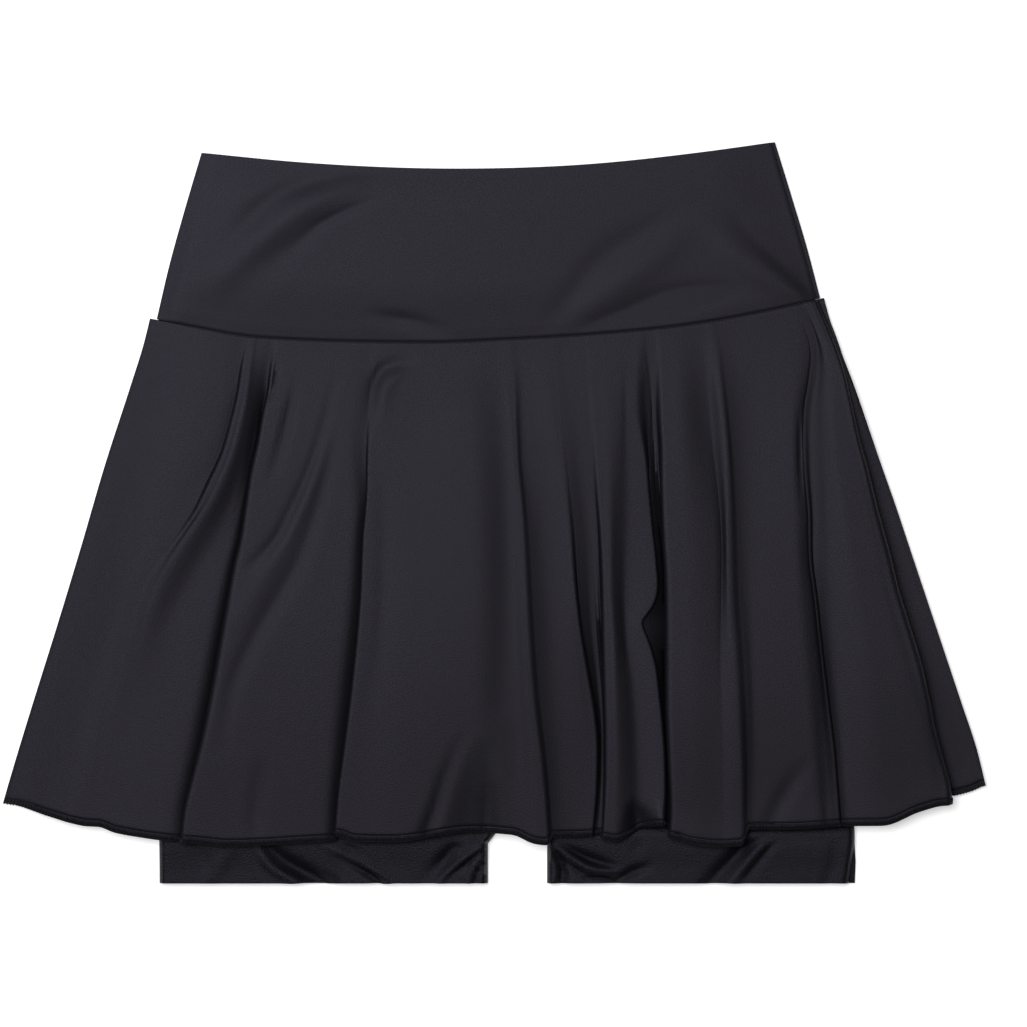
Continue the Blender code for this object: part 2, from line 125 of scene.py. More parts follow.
# A fold's turn, in radians at STATIONS, is its steepest slope: past a right angle the cloth overhangs as a
# nose. Its dive is how steeply the lower cloth runs in under it; below 0 the lower cloth falls on away.
Fold = namedtuple("Fold", "name lip turn dive left right hem path")
LINE_6 = ((121.5, 113), (126, 89), (128.4, 67.5), (130.2, 47.7), (133.6, 16.5), (135.2, -1.5), (135.9, -16.5),
          (135.8, -46.5), (135.2, -87.9), (136, -120), (137, -199))
LINE_6_SIDE = 1.4  # half the width of the thin valley along it


def beside(path, right):
    """A path moved to the right."""
    return tuple((x + right, y) for x, y in path)


def over_back(*heights):
    """Heights of cloth that lies on the skirt's back, told as heights over the shorts."""
    return tuple(UNDER_LAYER + height for height in heights)


FOLDS = (
    Soft("left_side", (0.1, 1.2, 2.0, 2.4, 2.4), -174.3, ((-206.5, 115.5), (-210.5, 100.5), (-218, 76.5),
         (-233.5, 28.5), (-247.5, -19.5), (-262, -67.5), (-277, -115.5), (-291.5, -163.5), (-294.6, -174.3))),
    Soft("left_panel", (0.2, 2.2, 4.0, 4.8, 4.8), -181.8, ((-185.5, 112.2), (-194, 79.5), (-207.5, 34.5),
         (-221, -4.5), (-234.5, -52.5), (-249.5, -106.5), (-266, -181.8))),
    Soft("left_of_tuck", (0.2, 2.7, 5.0, 5.8, 5.8), -185.6, ((-158, 107), (-165, 79.5), (-175, 46),
         (-193, 12), (-216, -32), (-238, -106), (-253, -185.6))),
    Fold("tuck", "right", (0.9, 1.6, 0.4, 0.1, 0.1), 0.6, (0.0, 1.9, 5.2, 5.8, 5.8),
         (0.3, 5.6, 5.9, 6.0, 6.0), (-187.4, -187.6), ((-147.2, 105.4), (-150.6, 91.5), (-153.8, 71),
         (-158.6, 50.7), (-163.5, 34.5), (-171, 18.3), (-180, 0), (-194, -20), (-206, -38), (-219, -76.5),
         (-231, -124.5), (-240, -187.5))),
    Soft("roll", (0.3, 6.4, 7.0, 6.4, 6.4), -191.2, ((-144.0, 104.8), (-146.6, 88), (-149.0, 70),
         (-152.0, 56), (-160, 28.5), (-169.5, 8), (-182, -10), (-194.5, -30), (-204.5, -52), (-216, -98),
         (-227, -191.2))),
    Soft("shelf", (0.1, 5.0, 4.4, 6.6, 7.0), -193.6, ((-141.6, 104.5), (-144, 88), (-145.8, 67.5),
         (-149.3, 43.5), (-152.5, 28.5), (-158.5, 7.5), (-167.5, -16.5), (-179, -37), (-190, -57),
         (-199, -90), (-208, -140), (-214, -193))),
    Soft("left_shoulder", (0.1, 2.7, 4.4, 6.9, 7.4), -195.6, ((-137.5, 104.4), (-140.2, 88), (-141.6, 67.5),
         (-146.5, 36), (-151.5, 12), (-160, -20), (-169, -52.5), (-182, -112.5), (-195.5, -172),
         (-200, -195.6))),
    Fold("nose_2", "right", (0.4, 1.9, 2.5, 2.7, 2.7), 1.2, (0.0, 0.1, 0.0, 0.0, 4.0),
         (0.3, 5.0, 9.2, 11.4, 10.2), (-196.6, -197.1), ((-131, 104.5), (-133.5, 88.5), (-135.4, 72.9),
         (-138, 61.5), (-141.4, 42.5), (-145.5, 24.3), (-148.8, 3.9), (-152, -16.5), (-155.7, -32),
         (-159.5, -52.5), (-164.3, -79.5), (-170.2, -112.5), (-175.3, -137), (-180.5, -158), (-185.3, -178),
         (-187.2, -196.6))),
    Soft("panel_2_left", (0.2, 4.8, 9.0, 11.0, 9.6), -199.2, ((-106, 103.2), (-112, 57), (-118, 20),
         (-124, -22), (-132, -60), (-143, -108), (-151, -155), (-159, -199))),
    Soft("panel_2_right", (0.2, 4.8, 9.0, 10.8, 9.2), -196.6, ((-84, 102.5), (-86, 57), (-87, -20),
         (-90.5, -60), (-96.5, -108), (-105, -196))),
    Fold("nose_3", "right", (0.2, 0.8, 2.3, 2.3, 2.4), 0.75, (0.1, 4.2, 5.8, 6.6, 6.0),
         (0.2, 4.9, 9.8, 12.4, 10.8), (-196.2, -193.0), ((-72, 102.3), (-73, 88), (-74, 75), (-75.2, 55),
         (-76.0, 28), (-76.3, 8), (-78.2, -14), (-80, -52.5), (-82.6, -83), (-85.8, -112.5), (-89.6, -142.5),
         (-93.4, -172.5), (-95.3, -196))),
    Soft("panel_3_corner", (0.2, 5.0, 9.8, 12.3, 10.8), -196.2, ((-64, 102.3), (-65, 66), (-66, 40),
         (-66, -20), (-72, -83), (-78, -139), (-83, -196))),
    Soft("panel_3", (0.2, 5.1, 10.4, 13.0, 11.2), -196.6, ((-47, 102.3), (-48, 57), (-50, -20), (-55, -108),
         (-62, -196))),
    Soft("panel_3_tent", (0.2, 5.7, 11.2, 13.4, 11.0), -190.9, ((-16, 102.6), (-14, 57), (-12, -20),
         (-12, -108), (-14, -190))),
    Soft("panel_3_trough", (0.1, 4.4, 9.0, 11.4, 9.6), -192.3, ((2, 103.2), (6, 57), (10, -4), (12, -52),
         (14, -112), (14, -150), (11, -192))),
    Soft("strip", (0.15, 4.7, 9.6, 12.8, 10.8), -197.6, ((4.4, 103.6), (9.6, 57), (14.6, 0), (17.2, -50),
         (20.2, -100), (23.2, -140), (24.8, -172), (24, -197.6))),
    Fold("lip_3", "left", (0.2, 0.46, 0.46, 0.5, 0.7), -0.28, (0.2, 4.6, 9.6, 12.8, 10.8),
         (0.1, 3.6, 7.8, 10.8, 8.8), (-198.4, -194.0), ((10, 104), (13.0, 80.7), (14.2, 47.7), (15.2, 26.7),
         (17.3, 6.3), (19.3, -19.5), (20.7, -46.5), (23.1, -87.9), (25.2, -114), (28.8, -144.7),
         (31.4, -172), (33, -198))),
    Soft("panel_4_left", (0.1, 3.7, 6.4, 9.1, 7.6), -194.0, ((20.5, 104), (25, 67.5), (29.5, 37.5),
         (33.5, 0), (36.5, -40), (38.5, -80), (41, -112.5), (43.5, -194))),
    Soft("panel_4", (0.1, 4.4, 6.8, 9.0, 7.2), -194.0, ((28.5, 104.5), (33.4, 67.5), (37.5, 37.5), (40.5, 0),
         (44, -40), (47.5, -80), (51.5, -112.5), (49.5, -194))),
    Fold("lip_4", "left", (0.1, 0.2, 0.9, 2.5, 2.6), -0.3, (0.1, 4.3, 7.2, 8.6, 7.4),
         (0.0, 4.1, 5.8, 3.6, 5.4), (-193.5, -193.0), ((36.5, 105.5), (40.5, 55.5), (44, 16), (46.4, -9.3),
         (48.9, -46.5), (51, -66.9), (55.8, -96.3), (59.6, -118.8), (61.2, -134.1), (61.2, -155.1),
         (59.9, -178.5), (58.2, -193))),
    Soft("crevice_2", (0.0, 3.8, 4.0, 0.0, 3.8), -193.0, ((46, 106), (50, 55), (53, 16), (56.6, -9.3),
         (59.6, -46.5), (61.2, -70), (63.3, -96.3), (64.8, -118.8), (65.0, -140), (64.6, -165), (63, -193))),
    Fold("nose_5", "right", (0.1, 0.2, 1.1, 2.6, 2.6), 0.9, (0.0, 3.8, 4.4, 0.4, 4.0),
         (0.1, 4.2, 7.2, 10.0, 9.4), (-193.0, -195.3), ((55, 107), (58.5, 55), (61, 16), (63, -9.3),
         (64.6, -52.5), (65, -77.7), (65.6, -108), (66.2, -134), (66.2, -160), (64.8, -193))),
    Soft("panel_5", (0.1, 4.4, 7.4, 10.4, 9.6), -196.4, ((66, 107.5), (68, 50), (69, -4.5), (69.5, -50),
         (71, -75), (72, -112.5), (73, -150), (72, -196))),
    Soft("panel_5_right", (0.1, 4.0, 6.2, 9.0, 8.6), -193.4, ((75, 108), (75.5, 60), (74, 20), (73.2, -20),
         (73.4, -50), (75.5, -85), (77.5, -112.5), (79, -150), (79.5, -193))),
    Soft("panel_5_trough", (0.1, 3.4, 4.6, 7.0, 7.0), -189.6, ((80, 109), (79, 83.7), (79, 57.9), (80, 26.7),
         (80.2, -3.9), (79.0, -35.1), (78.4, -56.7), (79.6, -77.7), (82.6, -97), (84.8, -118.8),
         (85.8, -139.5), (86.6, -163), (86.6, -189))),
    Fold("lip_5", "left", (0.1, 0.35, 2.5, 2.5, 2.5), -0.3, (0.1, 3.4, 5.0, 8.0, 9.0),
         (0.0, 0.8, 4.0, 6.2, 4.8), (-187.0, -188.0), ((88.0, 110), (88, 82), (88.4, 62), (89.8, 45.3),
         (91.2, 32.1), (92.4, 11.1), (94.2, -9.3), (96.6, -33), (97.2, -44.5), (96.2, -50.7), (94, -56),
         (90.6, -60.8), (88.1, -64.6), (88.0, -66.2), (89, -70), (91.4, -76), (95.6, -89.7), (98.1, -108.3),
         (99.8, -123.9), (101.4, -144.9), (101.9, -165.3), (101.4, -187))),
    Soft("crevice_3", (0.0, 0.4, 0.0, 0.0, 3.8), -188.5, ((94.4, 110.5), (94.4, 82), (94.8, 62), (95.8, 40),
         (97.2, 15), (99.8, -9.3), (101.6, -30), (102.6, -50), (102.6, -64), (102.6, -87.9), (102.8, -112),
         (103.2, -130), (104.1, -150), (104.6, -172), (104.0, -188))),
    Fold("nose_6", "right", (0.1, 0.8, 2.5, 2.6, 2.6), 0.9, (0.0, 0.5, 0.3, 0.4, 4.2),
         (0.2, 3.4, 9.2, 11.8, 10.6), (-190.0, -194.7), ((97.5, 111), (98, 84), (98.4, 62), (99.6, 40),
         (100.1, 15), (100.9, -9.3), (102.2, -35.1), (102.6, -56.7), (102.6, -87.9), (103, -118.8),
         (104.3, -144.9), (105.6, -172), (105, -194))),
    Soft("panel_6", (0.2, 3.6, 9.2, 12.0, 10.6), -197.7, ((108.5, 112), (110.5, 67.5), (112, 25.5),
         (114.5, -28.5), (117, -100.5), (118, -197))),
    Soft("line_6_left", (0.1, 1.3, 7.3, 11.1, 10.0), -199.5, beside(LINE_6, -LINE_6_SIDE)),
    Soft("line_6", (0.1, 1.2, 6.7, 11.0, 10.0), -199.5, LINE_6),
    Soft("line_6_right", (0.1, 1.4, 7.4, 11.2, 10.1), -199.5, beside(LINE_6, LINE_6_SIDE)),
    Fold("lip_6", "left", (0.4, 0.5, 0.46, 0.46, 0.55), -0.25, (0.2, 3.4, 9.0, 12.0, 10.4),
         (0.0, 2.3, 6.9, 9.9, 8.6), (-198.9, -189.4), ((131, 115), (133.6, 104), (137.4, 73.5),
         (140.8, 37.2), (142.5, 6.3), (143.6, -35.1), (144.2, -55), (146.6, -87.9), (148.2, -118.8),
         (149.2, -144.9), (149.6, -194))),
    Soft("panel_7_left", (0.0, 1.5, 6.2, 9.2, 8.2), -189.3, ((145, 117), (152.5, 73.5), (158, 37.2),
         (158, 6.3), (156, -35.1), (154.5, -87.9), (157, -144.9), (158, -189))),
    Soft("panel_7", (0.1, 1.8, 6.3, 9.2, 8.2), -189.3, ((160, 120), (166, 67.5), (168.5, 7.5), (170, -64.5),
         (172, -124.5), (176, -189))),
    Soft("panel_7_right", (0.1, 2.2, 6.4, 9.0, 8.4), -188.3, ((173.5, 124), (180, 92), (180, 61.5),
         (180, 20), (181, -20), (183, -59), (185.5, -85), (188, -112), (191.5, -150), (195, -188))),
    Soft("line_8", (0.1, 1.6, 5.4, 7.6, 7.3), -188.0, ((179.4, 124.8), (188, 98), (186.6, 81), (184, 65),
         (183.4, 30), (185.4, -1), (186, -30), (188.5, -50), (190.6, -72), (192, -88), (193.4, -106),
         (194.8, -124), (196.4, -144), (197.4, -160), (199.2, -188))),
    Soft("line_8_right", (0.1, 1.2, 4.9, 7.0, 7.2), -187.8, ((180.6, 125), (189.4, 98), (188, 81),
         (185.4, 65), (184.8, 30), (186.8, -1), (187.5, -30), (190, -50), (192.2, -72), (193.8, -88),
         (195.4, -106), (197, -124), (199, -144), (200.2, -160), (202, -188))),
    Fold("crevice_8", "left", (0.1, 0.3, 1.2, 2.2, 2.2), 0.9, (0.1, 0.9, 4.4, 5.8, 7.0),
         (0.0, 0.6, 3.2, 3.2, 4.6), (-187.5, -187.3), ((182.8, 125.4), (192, 98), (190.6, 81), (188, 65),
         (187.4, 30), (189.4, -1), (190, -30), (192.5, -50), (194.8, -72), (196.6, -88), (198.8, -106),
         (201, -124), (203.4, -144), (204.7, -160), (206.8, -187))),
    Soft("panel_8_rise", (0.15, 3.0, 6.4, 8.0, 8.0), -187.1, ((186.2, 126.2), (197, 95), (197.4, 62),
         (199, 20), (201.6, -28), (204, -62), (207, -100), (212.4, -140), (216, -187))),
    Soft("panel_8", (0.2, 4.0, 8.0, 10.2, 9.0), -186.9, ((187.6, 127), (200, 92), (204, 40), (210.5, 0),
         (219, -55), (229, -124.5), (232, -187))),
    Soft("panel_8_right", (0.3, 4.2, 8.0, 10.2, 9.0), -178.3, ((189.4, 127.6), (202.6, 92), (209, 60),
         (219, 17.5), (231, -45), (246, -118), (255, -178))),
    Fold("lip_8", "left", (1.2, 2.2, 2.6, 2.6, 2.4), -0.25, (0.2, 4.1, 7.8, 10.0, 9.0),
         over_back(0.0, 3.4, 1.0, 0.8, 0.8), (-174.9, -169.8), ((192.5, 128), (200.6, 107.7), (208, 86.4),
         (213.4, 63.3), (217.6, 44.4), (222.8, 25.5), (228, 4.5), (236.5, -27), (241.6, -47.7),
         (244.8, -58.5), (249.9, -74.7), (255.2, -93), (259.3, -111.2), (263.4, -131.6), (267.6, -147.7),
         (271.8, -163.7), (273.3, -174.5))),
    Soft("under_rise", over_back(0.0, 3.2, 0.4, 0.3, 0.5), -167.0, ((196.0, 128.5), (202.6, 108.5),
         (211.7, 84), (220.6, 58), (231, 28.5), (239, 0), (247.6, -28), (255.9, -56), (264.7, -85),
         (273, -115), (281, -142), (286, -166))),
    Soft("right_side", over_back(0.0, 2.8, 0.8, 0.9, 0.8), -163.6, ((197.6, 128.6), (202, 112.5),
         (206, 100.5), (215, 76.5), (223.5, 52.5), (232, 28.5), (240.5, 4.5), (248.5, -19.5),
         (256.5, -43.5), (264.5, -67.5), (272.5, -91.5), (280.5, -115.5), (288.5, -139.5),
         (294.6, -163.6))),
)

# Creases that are pressed into a cloth: how far the cloth rises (or sinks, below 0) and how wide the
# crease is, each at even places along its path.
Crease = namedtuple("Crease", "name rise width path")
SKIRT_CREASES = (
    Crease("short_pleat", (-0.2, -1.1, -0.8), (1.1, 1.3, 1.6), ((-130.8, 91), (-132, 80), (-134, 69))),
    Crease("pull_1", (-0.4, -1.6, -1.1, -0.2), (2.0, 2.2, 2.8, 3.4), ((-119, 76), (-122.5, 62), (-128, 38),
         (-134, 18))),
    Crease("pull_2", (-0.1, -0.4, -0.7, -1.0, -1.2, -1.4, -0.6), (3, 3, 2.8, 2.8, 2.8, 3, 3), ((-95, 83),
         (-101, 57), (-106.5, 38), (-113, 20), (-121, 2), (-131, -17), (-145, -32))),
    Crease("pull_2_ridge", (0.1, 0.6, 0.7, 0.7, 0.5, 0.2), (3, 3.6, 4, 4.4, 5, 6), ((-100, 48), (-107, 24),
         (-116, 2), (-127, -20), (-140, -42), (-154, -66))),
    Crease("pull_3", (-0.1, -0.5, -0.8, -1.0, -1.2, -1.1, -1.0, -0.9, -0.7, -0.3),
         (3.4, 4.0, 4.0, 4.4, 5, 5, 5, 5, 5.2, 5.6), ((-95.5, 43), (-99.5, 24), (-104, 8), (-110.5, -12),
         (-118, -31), (-128, -49), (-138.5, -66), (-147, -82), (-155, -100), (-162, -140))),
    Crease("panel_2_low", (-0.1, -0.8, -0.9, -0.4), (4, 4.4, 4.6, 4.6), ((-139, -146), (-140.5, -160),
         (-142, -175), (-143, -195))),
    Crease("hook_shadow", (-0.2, -1.0, -1.4, -1.2, -0.7, -0.1), (2.6, 3.0, 3.4, 3.4, 3.2, 3.0), ((-49, 90),
         (-60, 89), (-68, 85), (-72, 77), (-73.5, 66), (-75, 48))),
    Crease("hook_ridge", (0.1, 0.8, 0.7, 0.3, 0.0), (3, 3.4, 3.6, 4, 5), ((-50, 83), (-59, 81), (-64, 76),
         (-66.5, 66), (-68, 46))),
    Crease("panel_3_line", (-0.1, -0.5, -0.5, -0.1), (3, 3.6, 3.6, 4), ((-66.5, 20), (-66.5, -20),
         (-67, -60), (-71, -110))),
    Crease("panel_3_hollow", (0.0, -0.5, -0.6, -0.4), (6, 7, 8, 8), ((3, 80), (7, 20), (8, -50), (4, -115))),
    Crease("tent_far_left", (0.0, -1.0, -1.8, -2.2), (2.4, 2.8, 3.0, 3.2), ((-18, -129.5), (-30, -159.5),
         (-36.5, -180.5), (-41, -192))),
    Crease("tent_left", (0.0, -1.2, -2.8, -4.2), (4, 8, 13, 17), ((-7, -134), (-10, -158), (-10.5, -176),
         (-11, -193))),
    Crease("tent_right", (0.0, -0.8, -1.5, -1.8), (2.5, 3.4, 4, 4.4), ((-4, -138), (-3, -162.5),
         (-3.5, -180), (-4, -191))),
    Crease("curl", (0.0, -2.4, -4.0, -4.4), (1.4, 3.4, 5.4, 7.0), ((83.5, -171), (84, -178), (85.5, -184),
         (86.5, -190))),
    Crease("curl_tip", (0.0, 1.6, 2.6), (2.5, 2.5, 3), ((99, -172), (99.5, -180), (100, -187))),
    Crease("panel_7_line", (-0.1, -1.0, -0.9, -0.1), (0.9, 1.1, 1.2, 1.2), ((182, 65), (182.6, 45),
         (183, 25), (184, 0))),
    Crease("panel_7_diagonal", (-0.1, -0.6, -1.0, -1.0), (4, 5, 5, 5), ((189, -147.7), (182, -156),
         (173.5, -169), (166, -184))),
    Crease("lip_8_rim", (0.0, 0.3, 0.4, 0.4, 0.3, 0.0), (2.2, 2.2), ((199.6, 107.7), (207, 86.4),
         (212.4, 63.3), (216.6, 44.4), (221.7, 25.5), (227, 4.5))),
    Crease("rim_trough", (0.0, -0.2, -0.3, -0.5, -0.4), (2.4, 2.6, 2.8, 3, 3), ((230, -32), (242, -66),
         (251, -95), (260, -125), (268, -165))),
)
BAND_CREASES = (
    Crease("left_long", (-0.1, -0.6, -0.9, -0.8, -0.5, -0.1), (4, 5, 5.5, 6, 7, 7), ((-94, 203),
         (-114, 197.5), (-130, 190), (-145, 178), (-157, 163), (-168, 147))),
    Crease("left_ridge", (0.2, 1.2, 1.6, 1.2, 0.4), (6, 7, 8, 9, 10), ((-74, 199), (-94, 192), (-119, 179),
         (-144, 160), (-170, 137))),
    Crease("middle_long", (-0.1, -0.6, -0.8, -0.6, -0.4, -0.2, -0.1), (2.6, 2.8, 3.0, 4.6, 8, 10, 11),
         ((-66, 189), (-86, 182), (-104, 173), (-119, 160), (-134, 148), (-150, 137), (-164, 124))),
    Crease("above_seam", (-0.2, -1.0, -0.3), (3.5, 4.5, 5), ((-74, 119), (-50, 114), (-32, 109))),
    Crease("right_long", (-0.1, -0.6, -0.9, -0.8, -0.6, -0.1), (6, 7, 8, 8, 7, 7), ((107, 180), (88, 167),
         (70, 156), (58, 145), (47, 131), (30, 112))),
    Crease("right_ridge", (0.2, 0.7, 0.9, 0.5), (8, 9, 9, 9), ((118, 170), (96, 152), (76, 137), (54, 122))),
    Crease("right_low", (-0.2, -1.2, -1.5, -1.1, -0.3), (6, 7, 8, 7, 6), ((146, 133), (126, 131), (104, 126),
         (80, 117), (54, 112))),
    Crease("right_corner", (-0.2, -0.9, -1.3, -1.1), (6, 7, 7, 6), ((138, 184), (154, 171), (170, 158),
         (191, 140))),
    Crease("right_corner_ridge", (0.2, 0.9, 1.0, 0.3), (7, 8, 8, 6), ((127, 174), (145, 155), (163, 142),
         (182, 132))),
)
LEFT_LEG_CREASES = (
    Crease("hollow", (-2.2, -3.8, -4.6, -4.2), (3.4, 4.2, 4.6, 4.6), ((-136, -200), (-126, -208),
         (-115, -215), (-99, -223))),
    Crease("hollow_ridge", (0.5, 1.8, 2, 1.7), (2.0, 2.2, 2.4, 2.4), ((-142, -199), (-134, -212),
         (-119, -221))),
    Crease("middle_trough", (-1, -2.5, -2.6), (2.0, 2.2, 2.2), ((-92, -206), (-82, -212), (-66, -223))),
    Crease("middle_ridge", (0.2, 1.4, 1.5, 1.0), (2.2, 2.2), ((-104, -197), (-88, -207), (-68, -217),
         (-60, -223))),
    Crease("small_hollow", (-0.8, -1.3, -0.2), (2.5, 2.5, 2.0), ((-92, -197), (-86, -201), (-80, -205))),
    Crease("dimple", (-2.2, -3.2, -1.6, -0.5), (3.4, 3.8, 4.0, 5.0), ((-24, -200), (-28, -205), (-34, -212),
         (-42, -220))),
    Crease("dimple_ridge", (1.0, 2.0, 1.9, 1.6), (1.8, 2.0, 2.0, 2.0), ((-8, -200), (-18, -207), (-27, -215),
         (-35, -223))),
    Crease("sharp_line", (-0.8, -2.4, -1.6, -0.3), (1.1, 1.2, 1.3, 1.5), ((-9, -203.5), (-17, -210),
         (-24, -215.5), (-31, -221))),
    Crease("corner_ridge", (0.6, 1.6, 1.2), (1.4, 1.4, 1.5), ((-8, -206), (-12.5, -213), (-16, -222))),
    Crease("corner_line", (-0.5, -2.2, -1.4), (1.0, 1.2, 1.3), ((-7, -208), (-9.5, -214), (-12, -222))),
    Crease("outer_ridge", (0.2, 0.9, 0.9), (4, 4.5, 4.5), ((-156, -199), (-164, -210), (-174, -222))),
    Crease("outer_hollow", (-1.0, -0.9, -0.4), (4.5, 4.5, 4.5), ((-180, -199), (-176, -206), (-170, -214))),
)
RIGHT_LEG_CREASES = (
    Crease("long_ridge", (1.2, 2.4, 2.2, 1.0), (1.6, 2.0, 2.2, 2.4), ((34, -197), (47, -207), (57, -213),
         (76, -215))),
    Crease("upper_hollow", (-0.8, -2.8, -2.5, -0.5), (2.2, 3.0, 3.0, 2.4), ((40, -199.5), (51, -205),
         (63, -209.5), (74, -213))),
    Crease("wedge", (-0.8, -3.4, -3.9, -3.6), (1.2, 1.8, 2.4, 2.6), ((34.5, -199), (39, -208), (41, -215.5),
         (40, -223))),
    Crease("sharp_line", (-0.3, -1.8, -0.8), (1.0, 1.2, 1.4), ((43, -208), (48, -213), (54, -218))),
    Crease("low_hollow", (-1.1, -2.1, -1.7), (1.4, 1.6, 1.6), ((55, -219), (65, -219), (75, -222.5))),
    Crease("middle_hollow", (-2.4, -2.4, -0.6), (3.0, 3.0, 2.6), ((75, -219), (86, -214), (93, -211))),
    Crease("soft_vertical", (-0.8, -0.8, -0.2), (3.2, 3.2, 3.0), ((86, -194), (85, -200), (83, -206))),
    Crease("dark_fall", (-2.9, -3.9, -3.9, -3.4, -2.9), (4.0, 4.2, 4.2, 4.4, 4.6), ((162.5, -190),
         (154, -195), (146, -204), (136.5, -214), (128, -223))),
    Crease("fall_ridge", (1.2, 1.8, 1.8, 1.5), (2.4, 2.4, 2.4, 2.6), ((170.5, -190), (159, -201),
         (149.5, -212), (141, -223))),
    Crease("second_fall", (-1.0, -1.3, -0.8), (2.0, 2.2, 2.4), ((174, -191), (163, -203), (152, -218))),
    Crease("side_hollow", (-0.8, -0.9, -0.9), (3.4, 3.6, 3.6), ((203.5, -189), (203.5, -208), (199, -223))),
)

# Edges of the shorts' panels from the seam down
Edge = namedtuple("Edge", "y x")
RISE = (Edge(103.6, -4.0), Edge(62, 0.0), Edge(0, 6.0), Edge(CROTCH_Y, 11.8))
LEFT_INSEAM = (Edge(-130, 8.6), Edge(-188, 3.4), Edge(-198, -4.5), Edge(LEG_HEM_Y, -4.5))
RIGHT_INSEAM = (Edge(-130, 22.0), Edge(-188, 31.0), Edge(-198, 32.1), Edge(LEG_HEM_Y, 32.1))
LEFT_OUTER = (
    Edge(113, -186.0), Edge(90, -196.0), Edge(62, -201.0), Edge(0, -203.4), Edge(CROTCH_Y, -203.0),
    Edge(-130, -202.0), Edge(-198, -200.2), Edge(LEG_HEM_Y, -200.1),
)
RIGHT_OUTER = (
    Edge(124, 180.0), Edge(90, 196.0), Edge(62, 202.0), Edge(0, 209.0), Edge(CROTCH_Y, 213.0),
    Edge(-130, 215.0), Edge(-198, 215.2), Edge(LEG_HEM_Y, 211.6),
)
BACK_LEG_SHOWS = 4.6  # how far the right leg's back shows beside its front at the hem,
BACK_LEG_FROM_Y = -188.0  # and from where on down it shows

# Flutes of the skirt's back: the share of its width where each lies, and how far down (0 to 1) it starts
Flute = namedtuple("Flute", "share from_v width height")
FLUTES = (Flute(0.045, 0.45, 8.0, 2.2), Flute(0.100, 0.72, 6.0, 1.6), Flute(0.893, 0.86, 4.0, 1.2),
          Flute(0.925, 0.60, 5.5, 1.8))

# Fineness of the cloth grids, in columns, rows or millimetres
FOLD_COLUMNS = 16
SPAN_STEP = 3.5
SKIRT_ROWS, SKIRT_LENGTH = 106, 300.0
NEAR_SEAM = (0.45, 0.9, 1.4, 2.0, 3.0, 4.5)  # rows this far below the seam
NEAR_HEM = (6.0, 5.0, 4.2, 3.7, 3.3, 2.9, 2.2, 1.4, 0.6)  # rows this far above the hem
NEAR_BAND_TOP = (0.5, 1.2, 2.2)  # rows this far below the waistband's top edge
NEAR_BAND_RIGHT = (0.993, 0.9955, 0.998)  # columns at these shares of its back's width
BACK_ROWS, BACK_COLUMNS, BACK_LENGTH = 60, 120, 290.0
BAND_ROWS, BAND_COLUMNS, BAND_DEPTH = 64, 150, 100.0
LEG_COLUMNS, HIDDEN_LEG_COLUMNS = 90, 30
HIDDEN_LEG_STEP, SHOWN_LEG_STEP = 14.0, 1.0
FOLD_STEPS = 256  # steps in which the run and rise of a fold are summed
LEAST_SPAN = 0.6  # between neighbouring folds, ridges or valleys

# Limits of the folds and creases
LEAST_FOLD = 5.0  # length of a fold's cloth
WIDEST_FOLD = 14.0  # a fold turns enough to climb within this width
DIVE_FROM_TURN, FULL_DIVE_TURN = 0.9, 2.2  # a fold that turns less than this has no dive, or all of it
STEEPEST_SHARE = 3.0  # a cubic steeper than this many times its span's slope would overshoot
LEFT_FALL_WIDTH = 44.0  # the skirt's front comes down to its back over this width at the left
CREASE_REACH = 3.2  # widths of a crease beyond which it is nothing
RIM_ANGLE = 78.0  # only a cloth's cut edges turn as sharply as this, in degrees
BAND_RIM, JERSEY_RIM = 0.6, 0.3  # rounding of the cloths' cut edges
CLOTH_MAP = "cloth"  # UV map of each cloth: its points' places on the flat cloth, in metres

# Knit face of each cloth: width of a stitch in millimetres, and strength of its uneven grain
Knit = namedtuple("Knit", "wale grain")
BAND_KNIT, SKIRT_KNIT, SHORTS_KNIT = Knit(0.40, 0.08), Knit(0.42, 0.13), Knit(0.46, 0.44)
COURSE_SHARE = 0.85  # a stitch's length as a share of its width
STITCH_SLANT, RIB_SHARPNESS = 1.6, 3.0
CLOUD_SCALE, CLOUD_DETAIL = 0.03, 3.0
SPECK_SCALE, SPECK_DETAIL = 1.1, 2.0
LEAST_TONE = 0.05
GRAIN_IN_ROUGHNESS = 0.25
KNIT_STRENGTH = 0.6
THREAD_ROUGHNESS, THREAD_CLOUDS = 0.55, 0.08
SEAM_FLECKS, HEM_FLECKS = 0.5, 1.8  # how uneven the tone of each thread is

# Studio, in metres
WHITE = (1.0, 1.0, 1.0)
TABLE_WIDTH, TABLE_TONE, TABLE_GLOW = 5.0, 0.9, 0.45
TABLE_ROUGHNESS, TABLE_GLOSS = 0.9, 0.1
LAMP_PLACE = (-0.82, 0.56, 3.30)
CORNER_LAMP_PLACE, CORNER_LAMP_WIDTH = (-0.42, 0.42, 0.62), 0.30
CORNER_LAMP_COLOUR = (0.62, 0.80, 1.0)
VIEW_CENTRE = (0.0114, -0.0006)
SENSOR_WIDTH, FARTHEST_VIEW = 36.0, 50.0  # the first in millimetres


# ---- curves

